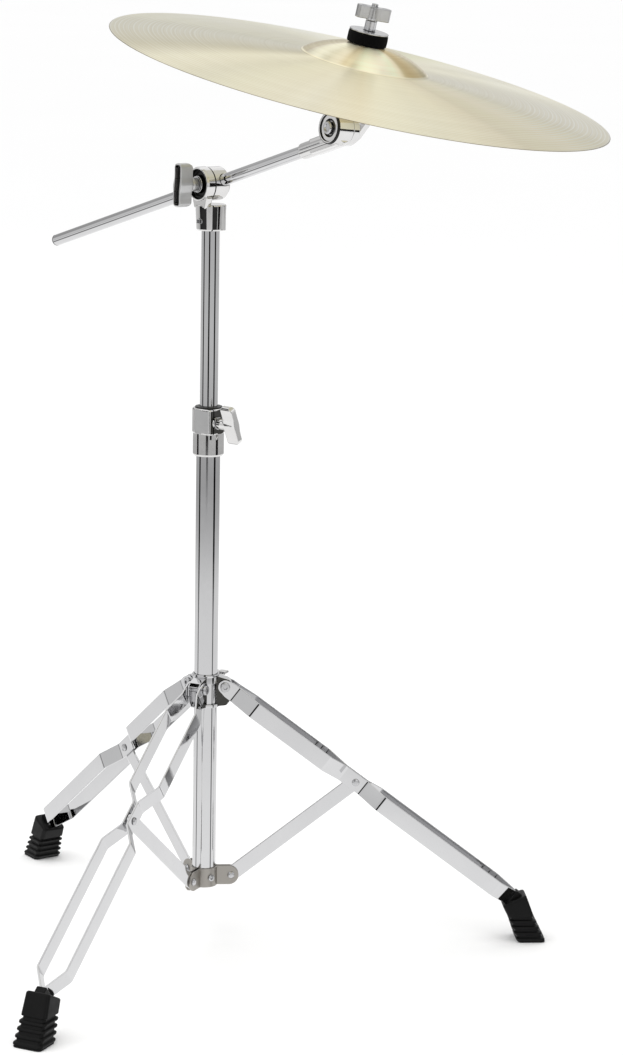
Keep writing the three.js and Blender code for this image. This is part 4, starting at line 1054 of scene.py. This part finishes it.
# ---------------------------------------------------------------- tilter
# tilter frame: X along the boom, Y along the tilting axis, Z square to both
SOCKET_DROP = 10                         # from the tilting axis down to the boom's axis
along = Vector((level.x * math.cos(rise), level.y * math.cos(rise), math.sin(rise)))
tilt_axis = CYMBAL_AXIS.cross(along).normalized()
square = along.cross(tilt_axis).normalized()
pivot = (across * BOOM_OFFSET + Vector((0, 0, BOOM_CLAMP_Z)) + along * 211.7
         + square * SOCKET_DROP)
TILTER = COLUMN @ axes(pivot, along, tilt_axis, square)
LEAN = Matrix.Rotation(math.atan2(CYMBAL_AXIS.dot(along), CYMBAL_AXIS.dot(square)), 4, "Y")
uphill = (Vector((0, 0, 1)) - CYMBAL_AXIS * CYMBAL_AXIS.z).normalized()
stem_origin = CYMBAL_CENTRE + uphill * 2.7      # the cymbal hangs a little off centre
from_pivot = stem_origin - pivot
STEM_Y = from_pivot.dot(tilt_axis)
STEM_X = -from_pivot.dot(CYMBAL_AXIS.cross(tilt_axis))
STEM_HEIGHT = from_pivot.dot(CYMBAL_AXIS)

DISC_R = 16.4
LY0, LY1 = -12.8, 7.5                    # faces of the lower half
disc = turned([
    (0, LY0 + 3.2), (8.4, LY0 + 3.2, 0.3), (9.4, LY0 + 1.6, 0.5), (13.0, LY0 + 1.5, 0.2),
    (13.7, LY0, 0.3), (14.95, LY0, 0.0), (15.5, LY0, 0.4), (DISC_R, LY0 + 2.6, 0.8),
    (DISC_R, LY1 - 0.2, 0.3), (0, LY1)], 0.4, 128, 4).moved(TO_Y)
SOCKET = shift(0, 0, -SOCKET_DROP) @ TO_X
socket = turned([(0, -58), (7.7, -58, 0.5), (8.4, -56.6, 0.8), (8.4, 4, 2.0), (6.6, 8.4, 2.0),
                 (0, 8.4)], 0.5, 96, 4).moved(SOCKET)
o = make("tilter_lower_half", disc, TILTER)
join(o, socket, box((-40, 3), (-7.5, 7.3), (-17.6, -2.4), 1.5, 2.0))
cut(o, drill(6.55, -59, -4.7, 96).moved(SOCKET), drill(4.4, -20, 20, 64).moved(TO_Y),
    rod(7.2, LY0 - 6, LY0 + 3.2, 0.2, 72).moved(TO_Y),
    drill(17.0, LY1, LY1 + 20, 128).moved(TO_Y))
# long clamping slot on the -Y side of the socket
cut(o, box((-60, -21), (-12, -5.0), (-11.2, -9.4), 0.1, 0.12))
bevel(o, 0.3)


# painted shade: rings on the outer face of the lower half, round the screw recess and at the steps
# near the rim, are coloured near black
def tilter_painted_shade(x, y, z):
    r = math.hypot(x, z)
    return y < LY0 + 4.0 and (6.9 < r < 9.3 or (12.95 < r < 13.75 and y < LY0 + 1.6)
                              or (14.97 < r < 16.6 and y < LY0 + 2.9))


finish(o, "boom_body", "chrome_cast", patches=[("cast_recess", tilter_painted_shade)])
screw = turned([
    (0, LY0 - 0.6), (3.2, LY0 - 0.6, 0.4), (3.9, LY0 - 2.2, 0.5), (5.6, LY0 - 2.3, 0.8),
    (6.6, LY0 - 1.0, 0.8), (6.6, LY0 + 2.9, 0.3), (4.0, LY0 + 2.9, 0.1), (4.0, 17.5, 0.5),
    (0, 17.5)], 0.3, 80, 4)
finish(make("tilter_lock_screw", screw.moved(TO_Y), TILTER), "tilter_screw", "steel")

UY0 = LY1 + 0.3                          # inner face of the upper half
disc = turned([(0, UY0), (15.8, UY0, 0.2), (DISC_R, UY0 + 0.5, 0.3), (DISC_R, UY0 + 7.5, 1.2),
               (0, UY0 + 7.5)], 0.4, 128, 4).moved(TO_Y)
# arm that carries the stem: (Y, height along the stem, corner radius)
ARM = [(UY0 + 3, -15.4, 1.5), (UY0 + 11, -13.5, 3), (UY0 + 18, -7, 4), (UY0 + 27, 9, 6),
       (UY0 + 30, 17, 2), (STEM_Y + 8, 27, 2.2), (STEM_Y - 6.8, 27, 2.2), (STEM_Y - 7.2, 18, 2),
       (UY0 + 3, 13, 1.5)]
NOTCH = [(UY0 + 12.6, -3, 0.6), (UY0 + 21.4, 12, 0.8), (UY0 + 12.6, 12, 0.8)]
arm_place = LEAN @ (shift(STEM_X / 2, 0, 0) @ SIDE)
o = make("tilter_upper_half", disc, TILTER)
join(o, prism(ARM, -8.5, 8.5, 1.3, 1.8, 4, 5).moved(arm_place))
cut(o, prism(NOTCH, -14, 14, 0.05, 0.5, 1, 4).moved(arm_place),
    drill(4.35, -20, 17.9, 64).moved(TO_Y),
    drill(3.7, 14.5, 60, 64).moved(LEAN @ shift(STEM_X, STEM_Y, 0)))
bevel(o, 0.4)
finish(o, "tilter_top", "chrome_cast")

# ---------------------------------------------------------------- stem and the pieces on it
cymbal_y = CYMBAL_AXIS.cross(tilt_axis).normalized()
STEM = COLUMN @ axes(stem_origin, tilt_axis, cymbal_y, CYMBAL_AXIS)
STEM_R, FELT_BORE = 3.4, 6.4
foot_z = 15 - STEM_HEIGHT
o = make("stem_rod", turned([
    (0, foot_z), (STEM_R, foot_z, 0.5), (STEM_R, 50.0, 0.05), (3.0, 50.4, 0.05), (3.0, 52, 0.05),
    (0, 52)], 0.3, 64), STEM)
join(o, thread(STEM_R, 50.8, 75.4, 1.25, 56, 0.45))
join(o, turned([(4.6, 48.75), (5.7, 48.75, 0.3), (5.7, 58.2, 0.3), (3.2, 58.2), (3.2, 51.6),
                (4.6, 51.6)], 0.2, 80))
finish(o, "tilter_top", "steel")
sleeve = turned([(3.65, 12), (9, 12, 0.5), (9, 19.8, 0.6), (4.5, 20.9, 0.6), (4.3, 51, 0.2),
                 (3.65, 51)], 0.2, 80)
finish(make("seat_sleeve", sleeve, STEM), "tilter_top", "black_nylon")
finish(make("lower_washer", tube(FELT_BORE, 17, 21.4, 22.9, 0.4, 96), STEM),
       "cymbal_seat", "steel")
finish(make("upper_washer", tube(FELT_BORE, 19.7, 47.0, 48.4, 0.4, 128), STEM),
       "cymbal_seat", "steel")


def felt(node, outer, z0, z1, seed, sag=0.0):
    """Pressed wool washer: crowned faces, soft corners, uneven pressed sides."""
    profile = soften([
        (FELT_BORE, z0 + 0.2, 0.6), (outer * 0.6, z0 + 0.02, 6), (outer - 0.2, z0 + 0.25, 1.3),
        (outer, (z0 + z1) / 2, 6), (outer - 0.25, z1 - 0.2, 1.4), (outer * 0.6, z1, 6),
        (FELT_BORE, z1 - 0.25, 0.6)], 0.8, 6)
    points = dense(profile + [profile[0]], 0.55)[:-1]
    o = make(node, lathe([(p.x, p.y) for p in points], 240), STEM)
    middle = (z0 + z1) / 2 * MM
    for v in o.data.vertices:
        c = v.co
        r = math.hypot(c.x, c.y)
        fuzz = noise.fractal(Vector((c.x * 900 + seed, c.y * 900, c.z * 1500)), 1.0, 2.0, 4)
        lump = noise.noise(Vector((c.x * 160 + seed, c.y * 160, c.z * 200)))
        k = min(fuzz * 0.09 + lump * 0.16, 0.12)
        if r > (outer - 1.6) * MM:
            c.x += c.x / r * k * MM
            c.y += c.y / r * k * MM
        less = 0.35 if k > 0 else 1.0
        c.z += (0.10 * k * MM if c.z > middle else -0.10 * k * MM) * less
        if sag and c.z < middle:
            c.z -= sag * MM * (r / (outer * MM)) ** 2 * (middle - c.z) / (middle - z0 * MM)
    finish(o, "cymbal_seat", "black_felt", angle=80, weighted=False)


felt("lower_felt", outer=16.6, z0=23.2, z1=32.8, seed=3.1)
felt("upper_felt", outer=20.0, z0=35.7, z1=46.7, seed=9.7, sag=1.0)
o = wing("top_wing_nut", STEM @ shift(0, 0, 58.7), length=33.2, leaf=11.6, hub_r=6.2,
         hub_h=2.2, thick=12, blade_z=0.9, half=0.36, offset=0.24, smooth=4,
         top_r=2.2, low_r=2.6, skew=76, voxel=0.28, bore=(3.7, 40), dish=1.3)
finish(o, "stem_nut", "brushed_cast", angle=50)

# ---------------------------------------------------------------- cymbal
BELL_R, BELL_TOP, BOW_H, RIM_R = 63.6, 35.2, 18.6, 254.0
# radius: how far the top and the underside are drawn in to round the edge
HOLE_TRIM = {7.5: 0.35, 7.7: 0.12, 8.1: 0.0}
RIM_TRIM = {252.6: 0.02, 253.3: 0.08, 253.75: 0.2, RIM_R: 0.37}


def bow_z(r):
    return BOW_H * (1 - (r / RIM_R) ** 1.8)


def bell_z(r):
    base = bow_z(BELL_R)
    return base + (BELL_TOP - base) * max(0.0, 1 - (r / BELL_R) ** 2.1) ** 0.78


def top_z(r):
    """Bell and bow, joined by a short cubic fillet."""
    w = 2.6
    start, end = BELL_R - w, BELL_R + w
    if r < start:
        return bell_z(r)
    if r > end:
        return bow_z(r)
    u = (r - BELL_R + w) / (2 * w)
    slope0 = (bell_z(start + 0.05) - bell_z(start - 0.05)) / 0.1 * 2 * w
    slope1 = (bow_z(end + 0.05) - bow_z(end - 0.05)) / 0.1 * 2 * w
    return ((2 * u ** 3 - 3 * u * u + 1) * bell_z(start) + (u ** 3 - 2 * u * u + u) * slope0
            + (-2 * u ** 3 + 3 * u * u) * bow_z(end) + (u ** 3 - u * u) * slope1)


def cymbal():
    trims = {**HOLE_TRIM, **RIM_TRIM}
    radii = [*HOLE_TRIM, *np.arange(9, 56, 1.5), *np.arange(56, 72, 0.6),
             *np.arange(72, 252.5, 1.2), *RIM_TRIM]
    top, under = [], []
    for r in radii:
        groove = 0
        if 9 < r < 252:
            groove = (0.007 * noise.noise(Vector((r * 0.9, 0.3, 0)))
                      + 0.012 * noise.noise(Vector((r * 3.1, 1.3, 0))))
        trim = trims.get(r, 0.0)
        thick = 1.2 - 0.45 * max(0.0, (r - 60) / (RIM_R - 60))
        top.append((r, top_z(r) + groove - trim))
        under.append((r, top_z(r) - thick + groove + trim))
    under[-1] = (RIM_R, top[-1][1] - 0.02)
    m = COLUMN @ axes(CYMBAL_CENTRE, tilt_axis, cymbal_y, CYMBAL_AXIS)
    finish(make("cymbal", lathe(top + under[::-1], 320), m), "cymbal_body", "cymbal_bronze",
           angle=60, weighted=False)


cymbal()


# ---------------------------------------------------------------- floor, light, camera
def make_floor():
    floor = bpy.data.objects.new("floor", bpy.data.meshes.new("floor"))
    floor.data.from_pydata([(-60, -30, 0), (60, -30, 0), (60, 90, 0), (-60, 90, 0)], [],
                           [(0, 1, 2, 3)])
    bpy.context.scene.collection.objects.link(floor)
    paper = bpy.data.materials.new("floor_paper")
    sh = Nodes(paper)
    clouds = sh.noise(sh.coords(source=("TexCoord", "Object")), 0.6)
    sh.output("Material", "BsdfPrincipled", {
        "Base Color": sh.mix_color(clouds, (0.945,) * 3, (0.96,) * 3),
        "Roughness": 0.9,
        "Specular IOR Level": 0.0})
    floor.data.materials.append(paper)
    floor.visible_glossy = False   # the plating mirrors the cards in the world instead


make_floor()

# brightness of the room by height: (position, 0 straight down to 1 straight up; value)
ROOM = [(0.0, 0.90), (0.30, 0.95), (0.35, 0.92), (0.365, 0.84), (0.385, 0.79), (0.391, 0.74),
        (0.398, 0.53), (0.405, 0.40), (0.411, 0.43), (0.4195, 0.53), (0.429, 0.60),
        (0.4383, 0.545), (0.446, 0.53), (0.462, 0.68), (0.50, 0.66), (0.655, 0.64),
        (0.69, 0.90), (0.9, 0.96), (1.0, 0.88)]


def studio():
    """Plain light for the camera and for diffuse rays; a room of cards for reflections."""
    world = bpy.data.worlds.new("studio")
    bpy.context.scene.world = world
    sh = Nodes(world)
    step, mix, mul = sh.step, sh.mix, sh.mul
    x, y, z = sh.add("SeparateXYZ", {0: sh.add("TexCoord", {}, "Generated")}).node.outputs
    # 0 towards the camera, + to the right
    bearing = sh.math("ARCTAN2", x, mul(y, -1))

    def card(centre, half, soft, dark):
        """A dark card standing upright in the room, in degrees, as a factor on the light."""
        off = sh.math("ABSOLUTE", sh.math("SUBTRACT", bearing, rad(centre)))
        return step(off, rad(half - soft), rad(half + soft), dark, 1.0)

    # the card by the camera is seen only above the low part of the room
    front = mix(step(z, -0.20, -0.17), 1.0,
                card(centre=-8, half=9.0, soft=1.6, dark=0.0))
    gap = mul(step(z, -0.03, 0.0), step(z, 0.14, 0.18, 1.0, 0.0))   # break in the left card
    wide = mul(card(centre=69, half=10.0, soft=1.8, dark=0.0),
               mix(gap, card(centre=-83, half=8.5, soft=1.5, dark=0.0), 1.0))
    thin = mul(card(centre=68, half=5.5, soft=2.0, dark=0.15),
               card(centre=-84, half=5.0, soft=2.0, dark=0.15))
    sides = mix(step(z, -0.40, -0.35), 1.0, mix(step(z, -0.235, -0.205), thin, wide))
    cards = mul(front, mix(step(z, 0.82, 0.93), sides, 1.0))
    # low dark gap on the left, seen only by surfaces that face down and left
    low = mix(step(z, -0.62, -0.50), 1.0,
              mix(step(z, -0.40, -0.30), card(centre=-102, half=9, soft=4, dark=0.25), 1.0))
    room = sh.color_ramp(sh.remap(z, (-1.0, 1.0)), [(at, (v,) * 3) for at, v in ROOM])
    # darker wall behind the stand, on both sides of the middle
    away = sh.math("ABSOLUTE", bearing)
    behind = mul(step(away, rad(95), rad(112)), step(away, rad(153), rad(170), 1.0, 0.0))
    behind = mul(behind, mix(step(bearing, rad(-1), rad(1)),
                             step(bearing, rad(-126), rad(-110), 1.0, 0.0), 1.0))
    wall = mix(step(z, 0.16, 0.30), 0.34, mix(step(z, 0.60, 0.80), 0.55, 1.0))
    wall = mix(behind, 1.0, mix(step(z, -0.09, -0.02), 1.0, wall))
    brightness = mul(sh.add("SeparateColor", {0: room}), 1.17)
    mirror = mul(mul(mul(brightness, cards), low), wall)
    rays = sh.add("LightPath", {}).node.outputs
    strength = mix(rays["Is Camera Ray"], mix(rays["Is Glossy Ray"], 1.04, mirror), 1.0)
    sh.output("World", "Background", {"Color": (1, 1, 1, 1), "Strength": strength})


studio()


def area_light(name, place, aim, size, power):
    light = bpy.data.lights.new(name, "AREA")
    light.shape, light.energy = "RECTANGLE", power
    light.size, light.size_y = size
    o = bpy.data.objects.new(name, light)
    bpy.context.scene.collection.objects.link(o)
    o.location = place
    o.rotation_mode = "QUATERNION"
    o.rotation_quaternion = (Vector(aim) - Vector(place)).to_track_quat("-Z", "Y")
    o.visible_camera = False
    o.visible_glossy = False


area_light("top_soft", place=(-0.6, -0.4, 3.2), aim=(0, 0, 0.3), size=(2.6, 2.6), power=34)

scene = bpy.context.scene
scene.view_settings.view_transform = "Standard"
scene.view_settings.look = "None"


def camera(place, yaw, pitch, roll, lens):
    """Angles in degrees: yaw to the right of +Y, pitch downwards, roll about the view."""
    yaw, pitch, roll = rad(yaw), rad(pitch), rad(roll)
    forward = Vector((math.sin(yaw) * math.cos(pitch), math.cos(yaw) * math.cos(pitch),
                      -math.sin(pitch)))
    right = Vector((math.cos(yaw), -math.sin(yaw), 0))
    up = right.cross(forward)
    data = bpy.data.cameras.new("camera")
    data.sensor_fit, data.sensor_height, data.sensor_width = "VERTICAL", 36.0, 36.0
    data.lens = lens
    data.clip_start, data.clip_end = 0.05, 300
    o = bpy.data.objects.new("camera", data)
    scene.collection.objects.link(o)
    o.matrix_world = axes(place, right * math.cos(roll) + up * math.sin(roll),
                          up * math.cos(roll) - right * math.sin(roll), -forward)
    scene.camera = o


camera(place=(0.04846, -3.25847, 1.1416), yaw=-0.44, pitch=11.61, roll=1.0, lens=107.6590909)
